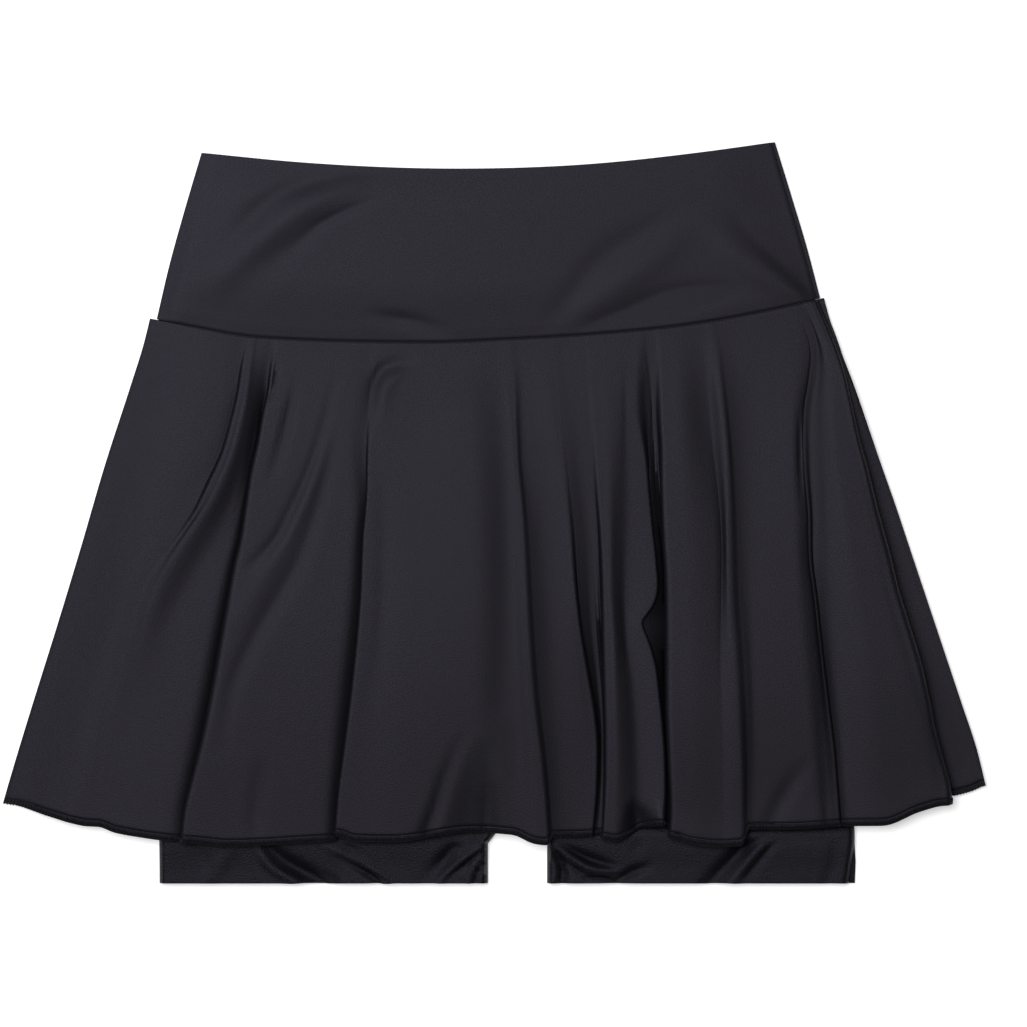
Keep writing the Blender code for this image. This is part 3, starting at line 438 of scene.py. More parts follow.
def hermite(xs, ys, slopes, x):
    """Cubic curve through the points (xs, ys) with these slopes, read at x."""
    xs, ys, slopes = (np.asarray(a, float) for a in (xs, ys, slopes))
    i = np.clip(np.searchsorted(xs, x, side="right") - 1, 0, len(xs) - 2)
    width = xs[i + 1] - xs[i]
    t = np.clip((x - xs[i]) / width, 0.0, 1.0)
    start = (1 + 2 * t) * (1 - t) ** 2 * ys[i] + t * (1 - t) ** 2 * width * slopes[i]
    end = t * t * (3 - 2 * t) * ys[i + 1] + t * t * (t - 1) * width * slopes[i + 1]
    return start + end


def smooth_curve(xs, ys, x):
    """Smooth curve through the points (xs, ys), read at x."""
    return hermite(xs, ys, np.gradient(np.asarray(ys, float), np.asarray(xs, float)), x)


def even_slopes(xs, ys):
    """Slopes that never overshoot the points, and are level at each end, ridge and valley."""
    steps = np.diff(ys) / np.diff(xs)
    slopes = np.zeros(len(xs))
    for i in range(1, len(xs) - 1):
        if steps[i - 1] * steps[i] > 0:
            slopes[i] = 2 * steps[i - 1] * steps[i] / (steps[i - 1] + steps[i])
    return slopes


def between(slope, steepest):
    """A slope held between level and the steepest that its span can take."""
    return min(max(slope, min(steepest, 0.0)), max(steepest, 0.0))


def smoothstep(t):
    """Level start and level end between 0 and 1."""
    t = np.clip(t, 0.0, 1.0)
    return t * t * (3 - 2 * t)


def ramp(x, start, end):
    """Smooth rise from 0 at start to 1 at end."""
    return smoothstep((x - start) / (end - start))


def bell(away, width):
    """Height of a round ridge, 1 at its middle, at this distance from it."""
    return np.exp(-(away / width) ** 2)


def seam_y(x):
    """Y of the seam under the waistband."""
    return smooth_curve(*zip(*SEAM), x)


def band_top_y(x):
    """Y of the waistband's top edge."""
    return smooth_curve(*zip(*BAND_TOP), x)


def smooth_path(points, step=1.0):
    """Points along a smooth curve through a crease's path, and how far along it (0 to 1) each one is."""
    points = np.array(points, float)
    run = np.append(0.0, np.cumsum(np.hypot(*np.diff(points, axis=0).T)))
    places = np.linspace(0.0, run[-1], max(3, int(run[-1] / step)))
    curve = np.stack([smooth_curve(run, points[:, k], places) for k in (0, 1)], axis=1)
    return curve, places / run[-1]


def crease_height(creases, x, y):
    """How far creases raise the cloth at x and y."""
    height = np.zeros_like(x)
    for crease in creases:
        curve, along = smooth_path(crease.path)
        reach = CREASE_REACH * max(crease.width)
        low, high = curve.min(axis=0) - reach, curve.max(axis=0) + reach
        near = (x > low[0]) & (x < high[0]) & (y > low[1]) & (y < high[1])
        if not near.any():
            continue
        away = np.hypot(x[near][:, None] - curve[:, 0], y[near][:, None] - curve[:, 1])
        nearest = away.argmin(axis=1)
        rise, width = (smooth_curve(np.linspace(0, 1, len(values)), values, along[nearest])
                       for values in (crease.rise, crease.width))
        height[near] += rise * bell(away[np.arange(len(nearest)), nearest], width)
    return height


# ---- shapes of cloths

def fold_shape(turn, dive, t):
    """Run and rise per length of cloth at places t along a fold, its lowest and highest rise, its nose."""
    places = np.linspace(0.0, 1.0, FOLD_STEPS + 1)
    middle = places[1:] - 0.5 / FOLD_STEPS
    slope = turn * np.sin(np.pi * middle) ** 2 - dive * (1.0 - middle) ** 4
    run = np.append(0.0, np.cumsum(np.cos(slope)) / FOLD_STEPS)
    rise = np.append(0.0, np.cumsum(np.sin(slope)) / FOLD_STEPS)
    nose = run[FOLD_STEPS // 2:].min()
    return np.interp(t, places, run), np.interp(t, places, rise), rise.min(), rise[-1], nose


def path_places(row):
    """How far down (0 to 1) each point of a fold's path lies, and its x."""
    hem = row.hem[0] if isinstance(row, Fold) else row.hem
    x, y = (np.array(a, float) for a in zip(*row.path))
    top = seam_y(x[0])
    v = (top - y) / (top - hem)
    v[0], v[-1] = 0.0, 1.0
    return v, x


PATHS = {row.name: path_places(row) for row in FOLDS}


def fold_x(row, v):
    """X of a fold, ridge or valley at v."""
    return smooth_curve(*PATHS[row.name], v)


def station_value(values, v):
    """A value given at STATIONS, read at v. It leaves the seam slowly."""
    slopes = np.gradient(np.array(values, float), np.array(STATIONS))
    slopes[0] = 0.0
    return float(hermite(STATIONS, values, slopes, v))


def fold_points(fold, v):
    """Section of one fold at v, from its left side to its right side, and the slope of its lower end."""
    x = fold_x(fold, v)
    left, right = station_value(fold.left, v), station_value(fold.right, v)
    climb = abs(right - left)
    turn = max(station_value(fold.turn, v), 2.0 * climb / WIDEST_FOLD)
    dive = fold.dive
    if dive > 0:
        dive *= ramp(turn, DIVE_FROM_TURN, FULL_DIVE_TURN)
    t = np.linspace(0.0, 1.0, FOLD_COLUMNS + 1)
    upward = t if fold.lip == "right" else 1.0 - t
    run, rise, lowest, highest, nose = fold_shape(turn, dive, upward)
    climbing = climb / (highest - lowest)  # length of cloth that just makes the climb
    length = max(LEAST_FOLD, climbing)
    across = length * (run - nose)
    xs = x + across if fold.lip == "right" else x - across
    heights = min(left, right) + climbing * (rise - lowest)
    hems = fold.hem[0] + (fold.hem[1] - fold.hem[0]) * smoothstep(t)
    return np.stack([xs, heights, hems], axis=1), math.tan(dive) * (climbing / length)


def span_points(knots, counts, from_foot=0.0, to_foot=0.0):
    """Rows of x, height and hem between two folds, through the soft ridges and valleys there.

    from_foot and to_foot are how steeply the cloth rises away from the foot of the fold on that side.
    """
    xs, heights, hems = (np.array(a, float) for a in zip(*knots))
    room = LEAST_SPAN * np.arange(len(xs))
    xs[-1] = max(xs[-1], xs[0] + room[-1])
    xs = np.clip(xs, xs[0] + room, xs[-1] - room[::-1])
    slopes = even_slopes(xs, heights)
    steepest = STEEPEST_SHARE * np.diff(heights) / np.diff(xs)
    slopes[0] = between(from_foot, steepest[0])
    slopes[-1] = -between(to_foot, -steepest[-1])
    places = [np.linspace(xs[i], xs[i + 1], n, endpoint=False) for i, n in enumerate(counts)]
    x = np.concatenate(places + [xs[-1:]])
    height = hermite(xs, heights, slopes, x)
    return np.stack([x, height, hermite(xs, hems, even_slopes(xs, hems), x)], axis=1)


def span_columns():
    """Number of columns between each fold, ridge or valley and the next, from their places at the hem."""
    hem_x = [row.path[-1][0] for row in FOLDS]
    return [max(2, math.ceil((b - a) / SPAN_STEP)) for a, b in zip(hem_x, hem_x[1:])]


def skirt_section(v):
    """Rows of x, height and hem across the skirt's front at v, from its left side to its right side."""
    counts = span_columns()
    pieces = []
    knots, knot_counts, from_foot = [], [], 0.0
    for i, row in enumerate(FOLDS):
        if isinstance(row, Fold):
            fold, foot = fold_points(row, v)
            left_foot, right_foot = (foot, 0.0) if row.lip == "right" else (0.0, foot)
            pieces.append(span_points(knots + [tuple(fold[0])], knot_counts, from_foot, left_foot)[:-1])
            pieces.append(fold[:-1])
            knots, knot_counts, from_foot = [tuple(fold[-1])], [], right_foot
        else:
            knots.append((fold_x(row, v), station_value(row.height, v), row.hem))
        if i < len(counts):
            knot_counts.append(counts[i])
    pieces.append(span_points(knots, knot_counts, from_foot))
    return np.concatenate(pieces)


def uneven_steps(count, length, near_start=(), near_end=()):
    """Shares from 0 to 1: even ones, with finer ones near the start and the end of this length."""
    first = near_start[-1] / length if near_start else 0.0
    last = 1.0 - near_end[0] / length if near_end else 1.0
    even = np.linspace(first, last, count)
    fine = [0.0, 1.0] + [n / length for n in near_start[:-1]] + [1.0 - n / length for n in near_end[1:]]
    return np.unique(np.round(np.concatenate([even, fine]), 9))


def skirt_front_rows():
    """Underside of the skirt's front, a row of points for each step from the seam to the hem."""
    top_y = seam_y(skirt_section(0.0)[:, 0]) - SEAM_GAP / 2
    rows = []
    for v in uneven_steps(SKIRT_ROWS, SKIRT_LENGTH, NEAR_SEAM, NEAR_HEM):
        x, folded, hem = skirt_section(v).T
        y = top_y + (hem - top_y) * v
        height = folded + crease_height(SKIRT_CREASES, x, y)
        height += SEAM_ROLL * (1.0 - bell(top_y - y, SEAM_ROLL_WIDTH)) * ramp(v, 0.0, SEAM_ROLL_FROM)
        room = LEAST_ROOM + LEG_ROOM * ramp(y, LEG_RISES_FROM_Y, LEG_LIFTED_AT_Y)
        height = np.maximum(height, np.minimum(folded, room))
        height += hem_relief(y - hem, x, smoothstep((height - UNDER_LAYER) / HEM_ROLL_ROOM))
        share = np.clip((x - x[0]) / LEFT_FALL_WIDTH, 0.0, 1.0)
        height = UNDER_LAYER + (height - UNDER_LAYER) * np.sin(share * math.pi / 2)
        rows.append(np.stack([x, y, SKIRT_LAY + height], axis=1))
    return np.array(rows)


def hem_relief(above, x, loose):
    """Dent of the needle row, the loose edge's downward turn and the faint waves that the overlock draws."""
    dent = -NEEDLE_DENT * (1.0 + loose) * bell(above - BAND_OF_HEM, NEEDLE_DENT_WIDTH)
    turned = -HEM_ROLL * loose * np.clip(1.0 - above / BAND_OF_HEM, 0.0, 1.0) ** 2
    quick, slow = HEM_WAVE_TURNS
    wave = HEM_WAVE * np.sin(x * quick) * np.sin(x * slow + HEM_WAVE_START)
    return dent + turned + wave * np.exp(-above / HEM_WAVE_FADES)


def skirt_back_rows():
    """Underside of the skirt's back: level on the table, with a few flutes beside the shorts."""
    share = np.linspace(0.0, 1.0, BACK_COLUMNS + 1)

    def across(v):
        """X of a row of points at v."""
        left, right = fold_x(FOLDS[0], v), fold_x(FOLDS[-1], v)
        return left + (right - left) * share

    top_y = seam_y(across(0.0)) - SEAM_GAP / 2
    hem_x = across(1.0)
    hem = [(row.path[-1][0], max(row.hem) if isinstance(row, Fold) else row.hem) for row in FOLDS]
    inside = smoothstep((1.0 - np.abs(hem_x) / hem_x[-1]) / BACK_HEM_CORNER)
    hem_y = np.interp(hem_x, *zip(*hem)) + BACK_HEM_SHORTER * inside
    rows = []
    for v in uneven_steps(BACK_ROWS, BACK_LENGTH, (), NEAR_HEM):
        x = across(v)
        z = BACK_LAY + flute_height(share, x[-1] - x[0], v)
        rows.append(np.stack([x, top_y + (hem_y - top_y) * v, z], axis=1))
    return np.array(rows)


def flute_height(share, width, v):
    """Height of the back's flutes over the table, across a row of this width."""
    height = np.zeros_like(share)
    for flute in FLUTES:
        away = (share - flute.share) * width
        height += flute.height * ramp(v, flute.from_v, 1.0) * bell(away, flute.width)
    return height


def band_rows(left, right, across, underside=None):
    """Rows of a waistband piece from its top edge to the seam, with columns at the shares across.

    Without an underside, the piece lies on the table.
    """
    heights = np.linspace(0.0, 1.0, len(left))
    top_y = band_top_y(left[0] + (right[0] - left[0]) * across)
    low_y = seam_y(left[-1] + (right[-1] - left[-1]) * across) + SEAM_GAP / 2
    rows = []
    for v in uneven_steps(BAND_ROWS, BAND_DEPTH, NEAR_BAND_TOP, tuple(reversed(NEAR_SEAM))):
        x0, x1 = smooth_curve(heights, left, v), smooth_curve(heights, right, v)
        x, y = x0 + (x1 - x0) * across, top_y + (low_y - top_y) * v
        z = underside(x, y, across, v, y - low_y) if underside else np.full_like(x, BACK_LAY)
        rows.append(np.stack([x, y, z], axis=1))
    return np.array(rows)


def band_front_underside(x, y, across, v, above_seam):
    """The front lies on the back at its edges, rises to the skirt's level and carries soft creases."""
    right_side = BAND_RIGHT_SIDE - BAND_RIGHT_SIDE_LESS * v * v
    side = smoothstep(across / BAND_LEFT_SIDE) * smoothstep((1.0 - across) / right_side)

    def grown(edges):
        """How far a form has grown, of all its height."""
        return side * smoothstep(v / edges[0]) * smoothstep(above_seam / edges[1])

    lost = BAND_RIGHT_FLAT * smoothstep((across - BAND_FLAT_FROM) / BAND_FLAT_OVER)
    lift = BAND_LIFT * smoothstep(across / BAND_LIFT_SIDE) * (1.0 - lost) * grown(BAND_LIFT_EDGES)
    slack = BAND_SLACK * grown(BAND_SLACK_EDGES)
    creases = crease_height(BAND_CREASES, x, y) * grown(BAND_CREASE_EDGES)
    level = BAND_FRONT_LAY + (BAND_SEAM_LAY - BAND_FRONT_LAY) * smoothstep(v) * side
    seam = SEAM_ROLL * (1.0 - bell(above_seam, SEAM_ROLL_WIDTH)) * side
    return level + np.maximum(lift + slack + creases, 0.0) + seam


def edge_x(edges, y):
    """X of a panel's edge at y."""
    return np.interp(-np.asarray(y), [-edge.y for edge in edges], [edge.x for edge in edges])


def shorts_levels(inner, shown):
    """How far down (0 to 1) each row of a panel lies, with fine rows where the leg shows."""
    stops = [edge.y for edge in inner] + ([LEG_RISES_FROM_Y] if shown else [])
    stops.sort(reverse=True)
    levels = []
    for upper, lower in zip(stops, stops[1:]):
        step = SHOWN_LEG_STEP if shown and upper <= LEG_RISES_FROM_Y else HIDDEN_LEG_STEP
        levels += list(np.linspace(upper, lower, max(1, math.ceil((upper - lower) / step)), endpoint=False))
    heights = np.array(levels + [inner[-1].y])
    return (inner[0].y - heights) / (inner[0].y - inner[-1].y)


def shorts_rows(side, outer, inseam, lay, shows=0.0, creases=()):
    """Rows of a shorts panel from the seam to the leg's hem. side is -1 left of the rise seam, 1 right.

    shows is how far a back panel shows beside its front at the hem. Only a front panel has creases.
    """
    inner = RISE + inseam
    across = np.linspace(0.0, 1.0, (LEG_COLUMNS if creases else HIDDEN_LEG_COLUMNS) + 1)
    top_y = seam_y(outer[0].x + (inner[0].x - outer[0].x) * across) - SEAM_GAP / 2
    rows = []
    for level in shorts_levels(inner, bool(creases)):
        y = top_y + (LEG_HEM_Y - top_y) * level
        x0 = edge_x(outer, y[0]) + side * shows * ramp(y[0], BACK_LEG_FROM_Y, LEG_HEM_Y)
        x1 = edge_x(inner, inner[0].y + (LEG_HEM_Y - inner[0].y) * level) + side * SEAM_GAP / 2
        x = x0 + (x1 - x0) * across
        z = lay - SHORTS_BACK_LAY * ramp(y, LEG_FALL_FROM_Y, LEG_FALL_TO_Y)
        if creases:
            from_sides = np.minimum(np.abs(x - x0) / LEG_OUTER_FALLOFF, np.abs(x - x1) / LEG_INNER_FALLOFF)
            creased = crease_height(creases, x, y) * smoothstep((LEG_LIFTED_AT_Y - y) / LEG_CREASES_GROW)
            swell = np.maximum(LEG_LIFT * smoothstep(from_sides) + creased, 0.0)
            z = z + swell * ramp(y, LEG_RISES_FROM_Y, LEG_LIFTED_AT_Y)
        rows.append(np.stack([x, y, z], axis=1)[::-side])
    return np.array(rows)


# ---- meshes of cloths

def only(piece):
    """Select one piece and make it the active one, as an operator acts on all that is selected."""
    for item in bpy.context.selected_objects:
        item.select_set(False)
    piece.select_set(True)
    bpy.context.view_layer.objects.active = piece


def apply_modifiers(piece):
    """Apply all modifiers of a piece in their order."""
    only(piece)
    for name in [modifier.name for modifier in piece.modifiers]:
        bpy.ops.object.modifier_apply(modifier=name)


def cloth_name(node):
    """Name of the cloth that stands for a node."""
    return node + "_cloth"


def arc_lengths(rows, axis):
    """Length along the cloth from the start of each row (axis 1) or column (axis 0)."""
    steps = np.linalg.norm(np.diff(rows, axis=axis), axis=2)
    start = np.zeros((rows.shape[0], 1)) if axis == 1 else np.zeros((1, rows.shape[1]))
    return np.concatenate([start, np.cumsum(steps, axis=axis)], axis=axis)


def flat_places(rows):
    """Place of each point on the flat cloth, in metres, with its middle column straight."""
    across, down = arc_lengths(rows, 1), arc_lengths(rows, 0)
    middle = rows.shape[1] // 2
    return np.stack([across - across[:, middle:middle + 1], -down], axis=2) * MM


def shape_grid(mesh, rows):
    """Move a square grid's points to the rows of points, and make its UV map the flat cloth."""
    places = np.empty(len(mesh.vertices) * 3)
    mesh.vertices.foreach_get("co", places)
    places = places.reshape(-1, 3)
    column = np.rint((places[:, 0] + 1.0) / 2.0 * (rows.shape[1] - 1)).astype(int)
    row = np.rint((1.0 - places[:, 1]) / 2.0 * (rows.shape[0] - 1)).astype(int)
    mesh.vertices.foreach_set("co", (rows[row, column] * MM).ravel())
    flat = flat_places(rows)[row, column]
    corners = np.empty(len(mesh.loops), dtype=np.int32)
    mesh.loops.foreach_get("vertex_index", corners)
    mesh.uv_layers[0].name = CLOTH_MAP
    mesh.uv_layers[0].data.foreach_set("uv", flat[corners].ravel())
    mesh.update()


def lay_cloth(node, rows, wall, material, rim=JERSEY_RIM):
    """A cloth on its underside: a grid shaped to the rows of points and made solid upwards."""
    bpy.ops.mesh.primitive_grid_add(x_subdivisions=rows.shape[1] - 1, y_subdivisions=rows.shape[0] - 1,
                                    size=2.0)
    piece = bpy.context.active_object
    piece.name = piece.data.name = cloth_name(node)
    shape_grid(piece.data, rows)
    solid = piece.modifiers.new("wall", "SOLIDIFY")
    solid.thickness, solid.offset, solid.use_even_offset = wall * MM, 1.0, True
    soft_rim = piece.modifiers.new("rim", "BEVEL")
    soft_rim.width, soft_rim.segments, soft_rim.limit_method = rim * MM, 2, "ANGLE"
    soft_rim.angle_limit = math.radians(RIM_ANGLE)
    piece.data.materials.append(material)
    apply_modifiers(piece)
    bpy.ops.object.shade_smooth_by_angle(angle=math.radians(RIM_ANGLE))
    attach(piece, "root")
    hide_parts(node)
    return piece


def thread(name, points, thickness, material):
    """A sewing thread: a bevelled line through points in millimetres, made a mesh."""
    line = bpy.data.curves.new(name, "CURVE")
    line.dimensions = "3D"
    spline = line.splines.new("POLY")
    spline.points.add(len(points) - 1)
    spline.points.foreach_set("co", np.c_[np.asarray(points) * MM, np.ones(len(points))].ravel())
    line.bevel_depth = thickness / 2 * MM
    line.bevel_resolution = 0
    line.use_fill_caps = True
    piece = bpy.data.objects.new(name, line)
    bpy.context.scene.collection.objects.link(piece)
    only(piece)
    bpy.ops.object.convert(target="MESH")
    piece = bpy.context.active_object
    piece.data.materials.clear()
    piece.data.materials.append(material)
    bpy.ops.object.shade_smooth()
    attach(piece, "root")
    return piece


def edge_frames(rows, inset, step):
    """At even steps along a hem: its lines from the edge up to the needle line at inset, up and outward."""
    edge = rows[-1]
    up_the_cloth = arc_lengths(rows[::-1], 0)
    run = np.append(0.0, np.cumsum(np.linalg.norm(np.diff(edge, axis=0), axis=1)))
    places = (np.arange(int(run[-1] / step)) + 0.5) * step
    lines = []
    for share in HEM_LINES:
        line = [[np.interp(inset * share, up_the_cloth[:, k], rows[::-1][:, k, axis]) for axis in range(3)]
                for k in range(len(edge))]
        lines.append(np.stack([np.interp(places, run, values) for values in zip(*line)], axis=1))
    inward = lines[-1] - lines[0]
    upward = np.cross(np.gradient(lines[0], axis=0), inward)
    upward /= np.linalg.norm(upward, axis=1)[:, None]
    outward = -inward / np.linalg.norm(inward, axis=1)[:, None]
    return lines, upward, outward


def overlock_points(rows, wall, sizes):
    """The looper thread: over the edge, under it and back up through the needle line, stitch by stitch."""
    lines, upward, outward = edge_frames(rows, sizes.overlock_depth, sizes.stitch_pitch / 2)
    lie = sizes.thread_thickness * THREAD_LIE
    on_edge, low, high, top = [line + upward * (wall + lie) for line in lines]
    side = lines[0] + upward * wall / 2 + outward * (lie + EDGE_SLACK)
    under_edge = lines[0] - upward * lie + outward * UNDER_EDGE_SLACK
    under = lines[-1] - upward * lie
    points = []
    for k in range(0, len(side) - 1, 2):
        through = (under[k + 1] + top[k + 1]) / 2 + (lines[-1][k + 1] - lines[0][k + 1]) * THROUGH_BEYOND
        points += [top[k], high[k], low[k], on_edge[k], side[k], under_edge[k], under[k + 1], through]
        points += [top[k + 1], high[k + 1], (low[k + 1] + low[k]) / 2, (high[k + 1] + high[k]) / 2]
    return points


def needle_points(rows, wall, sizes):
    """The needle thread: a row of short stitches that dip into the cloth."""
    lines, upward, _ = edge_frames(rows, sizes.overlock_depth + NEEDLE_BEYOND, sizes.stitch_pitch / 4)
    dips = np.resize(NEEDLE_DIPS, len(upward))
    return lines[-1] + upward * (wall + dips * sizes.thread_thickness)[:, None]


# ---- materials

def new_group(name, inputs, outputs):
    """A shader node group with inputs and outputs of these names and kinds, and its two end nodes."""
    group = bpy.data.node_groups.new(name, "ShaderNodeTree")
    for way, sockets in (("INPUT", inputs), ("OUTPUT", outputs)):
        for label, kind in sockets.items():
            group.interface.new_socket(name=label, in_out=way, socket_type="NodeSocket" + kind)
    return group, group.nodes.new("NodeGroupInput"), group.nodes.new("NodeGroupOutput")


def math_node(tree, operation, *values):
    """A Math node with its inputs linked to sockets or set to numbers; returns its output."""
    node = tree.nodes.new("ShaderNodeMath")
    node.operation = operation
    for k, value in enumerate(values):
        if isinstance(value, (int, float)):
            node.inputs[k].default_value = value
        else:
            tree.links.new(value, node.inputs[k])
    return node.outputs[0]


def jersey_group():
    """Knit face of a jersey: columns of small v-shaped stitches. Puts out their height."""
    inputs = {"Flat Place": "Vector", "Wale": "Float", "Course": "Float"}
    group, given, made = new_group("jersey_face", inputs, {"Height": "Float"})
    node = partial(math_node, group)
    split = group.nodes.new("ShaderNodeSeparateXYZ")
    group.links.new(given.outputs["Flat Place"], split.inputs[0])
    wale = node("DIVIDE", split.outputs[0], given.outputs["Wale"])
    course = node("DIVIDE", split.outputs[1], given.outputs["Course"])
    middle = node("ABSOLUTE", node("SUBTRACT", node("FRACT", wale), 0.5))
    slanted = node("ADD", course, node("MULTIPLY", middle, STITCH_SLANT))
    stitch = node("ABSOLUTE", node("SINE", node("MULTIPLY", slanted, math.pi)))
    groove = node("SINE", node("MULTIPLY", middle, math.pi))
    rib = node("SUBTRACT", 1.0, node("POWER", groove, RIB_SHARPNESS))
    height = node("MULTIPLY", node("ADD", node("MULTIPLY", stitch, 0.5), 0.5), rib)
    group.links.new(height, made.inputs["Height"])
    return group


def tone_group():
    """Tone of dyed cloth: soft clouds of lighter and darker dye and fine grain."""
    inputs = {"Color": "Color", "Flat Place": "Vector", "Clouds": "Float", "Grain": "Float"}
    group, given, made = new_group("cloth_tone", inputs, {"Color": "Color", "Grain": "Float"})
    node = partial(math_node, group)

    def noise(scale, detail):
        """Uneven value about 0."""
        texture = group.nodes.new("ShaderNodeTexNoise")
        texture.inputs["Scale"].default_value = scale
        texture.inputs["Detail"].default_value = detail
        group.links.new(given.outputs["Flat Place"], texture.inputs["Vector"])
        return node("SUBTRACT", texture.outputs["Fac"], 0.5)

    cloud = node("MULTIPLY", noise(CLOUD_SCALE, CLOUD_DETAIL), given.outputs["Clouds"])
    speck = noise(SPECK_SCALE, SPECK_DETAIL)
    grain = node("MULTIPLY", speck, given.outputs["Grain"])
    shade = node("ADD", node("MULTIPLY", node("ADD", cloud, grain), 2.0), 1.0)
    tinted = group.nodes.new("ShaderNodeVectorMath")
    tinted.operation = "SCALE"
    group.links.new(given.outputs["Color"], tinted.inputs[0])
    group.links.new(node("MAXIMUM", shade, LEAST_TONE), tinted.inputs["Scale"])
    group.links.new(tinted.outputs[0], made.inputs["Color"])
    group.links.new(speck, made.inputs["Grain"])
    return group


def shared_group(name, maker):
    """The shader node group of this name, made once."""
    return bpy.data.node_groups.get(name) or maker()


def toned_material(name, colour, look, clouds, grain, on_cloth):
    """A new material in toned dye, its shader, its places in millimetres and its tone.

    The places are those of the flat cloth, or else those of the object.
    """
    material = bpy.data.materials.new(name)
    material.use_nodes = True
    tree = material.node_tree
    shader = tree.nodes["Principled BSDF"]
    shader.inputs["Specular Tint"].default_value = (*look.shine_colour, 1.0)
    place = tree.nodes.new("ShaderNodeUVMap" if on_cloth else "ShaderNodeTexCoord")
    if on_cloth:
        place.uv_map = CLOTH_MAP
    in_mm = tree.nodes.new("ShaderNodeVectorMath")
    in_mm.operation = "SCALE"
    in_mm.inputs["Scale"].default_value = 1.0 / MM
    tree.links.new(place.outputs["UV" if on_cloth else "Object"], in_mm.inputs[0])
    tone = tree.nodes.new("ShaderNodeGroup")
    tone.node_tree = shared_group("cloth_tone", tone_group)
    tone.inputs["Color"].default_value = (*colour, 1.0)
    tone.inputs["Clouds"].default_value = clouds
    tone.inputs["Grain"].default_value = grain
    tree.links.new(in_mm.outputs[0], tone.inputs["Flat Place"])
    tree.links.new(tone.outputs["Color"], shader.inputs["Base Color"])
    return material, shader, in_mm.outputs[0], tone


def jersey(name, colour, look, knit):
    """Satin-faced jersey of one of the garment's cloths."""
    if name in bpy.data.materials:
        return bpy.data.materials[name]
    material, shader, place, tone = toned_material(name, colour, look, look.clouds, knit.grain, True)
    tree = material.node_tree
    shader.inputs["Specular IOR Level"].default_value = look.gloss
    rougher = math_node(tree, "MULTIPLY_ADD", tone.outputs["Grain"], GRAIN_IN_ROUGHNESS, look.satin)
    tree.links.new(rougher, shader.inputs["Roughness"])
    face = tree.nodes.new("ShaderNodeGroup")
    face.node_tree = shared_group("jersey_face", jersey_group)
    face.inputs["Wale"].default_value = knit.wale
    face.inputs["Course"].default_value = knit.wale * COURSE_SHARE
    tree.links.new(place, face.inputs["Flat Place"])
    relief = math_node(tree, "MULTIPLY_ADD", tone.outputs["Grain"], look.grain_relief * knit.grain,
                       face.outputs["Height"])
    bump = tree.nodes.new("ShaderNodeBump")
    bump.inputs["Strength"].default_value = KNIT_STRENGTH
    bump.inputs["Distance"].default_value = look.knit_relief * MM
    tree.links.new(relief, bump.inputs["Height"])
    tree.links.new(bump.outputs["Normal"], shader.inputs["Normal"])
    return material


def sewing_thread(name, colour, look, flecks):
    """Twisted polyester sewing thread. flecks is how uneven its tone is."""
    if name in bpy.data.materials:
        return bpy.data.materials[name]
    material, shader, _, _ = toned_material(name, colour, look, THREAD_CLOUDS, flecks, False)
    shader.inputs["Roughness"].default_value = THREAD_ROUGHNESS
    shader.inputs["Specular IOR Level"].default_value = look.gloss * look.thread_shine
    return material


def table_top():
    """Bright, matt table top, lit evenly from inside as a light table is."""
    material = bpy.data.materials.new("table_top")
    material.use_nodes = True
    values = {
        "Base Color": (TABLE_TONE, TABLE_TONE, TABLE_TONE, 1.0),
        "Roughness": TABLE_ROUGHNESS,
        "Specular IOR Level": TABLE_GLOSS,
        "Emission Color": (*WHITE, 1.0),
        "Emission Strength": TABLE_GLOW,
    }
    for name, value in values.items():
        material.node_tree.nodes["Principled BSDF"].inputs[name].default_value = value
    return material


# ---- settings and add-on

def amount(name, description, value, low, high, **more):
    """A setting that is a number, with its usual value and its limits."""
    return FloatProperty(name=name, description=description, default=value, min=low, max=high, **more)


def tint(name, description, value):
    """A setting that is a colour."""
    return FloatVectorProperty(name=name, description=description, subtype="COLOR", size=3, min=0.0, max=1.0,
                               default=value)


class SkortSizes(bpy.types.PropertyGroup):
    """Sizes of the skort that a maker would change, in millimetres."""

    jersey_wall: amount("Jersey", "Thickness of skirt and shorts in mm", 1.0, 0.5, 3.0)
    band_wall: amount("Waistband", "Thickness of the two-layer waistband in mm", 1.7, 0.5, 3.0)
    overlock_depth: amount("Overlock depth", "From the raw edge to the needle line in mm", 3.3, 1.0, 8.0)
    stitch_pitch: amount("Stitch pitch", "Length of one overlock stitch in mm", 1.9, 0.8, 5.0)
    thread_thickness: amount("Thread", "Thickness of the overlock thread in mm", 0.60, 0.1, 1.0)


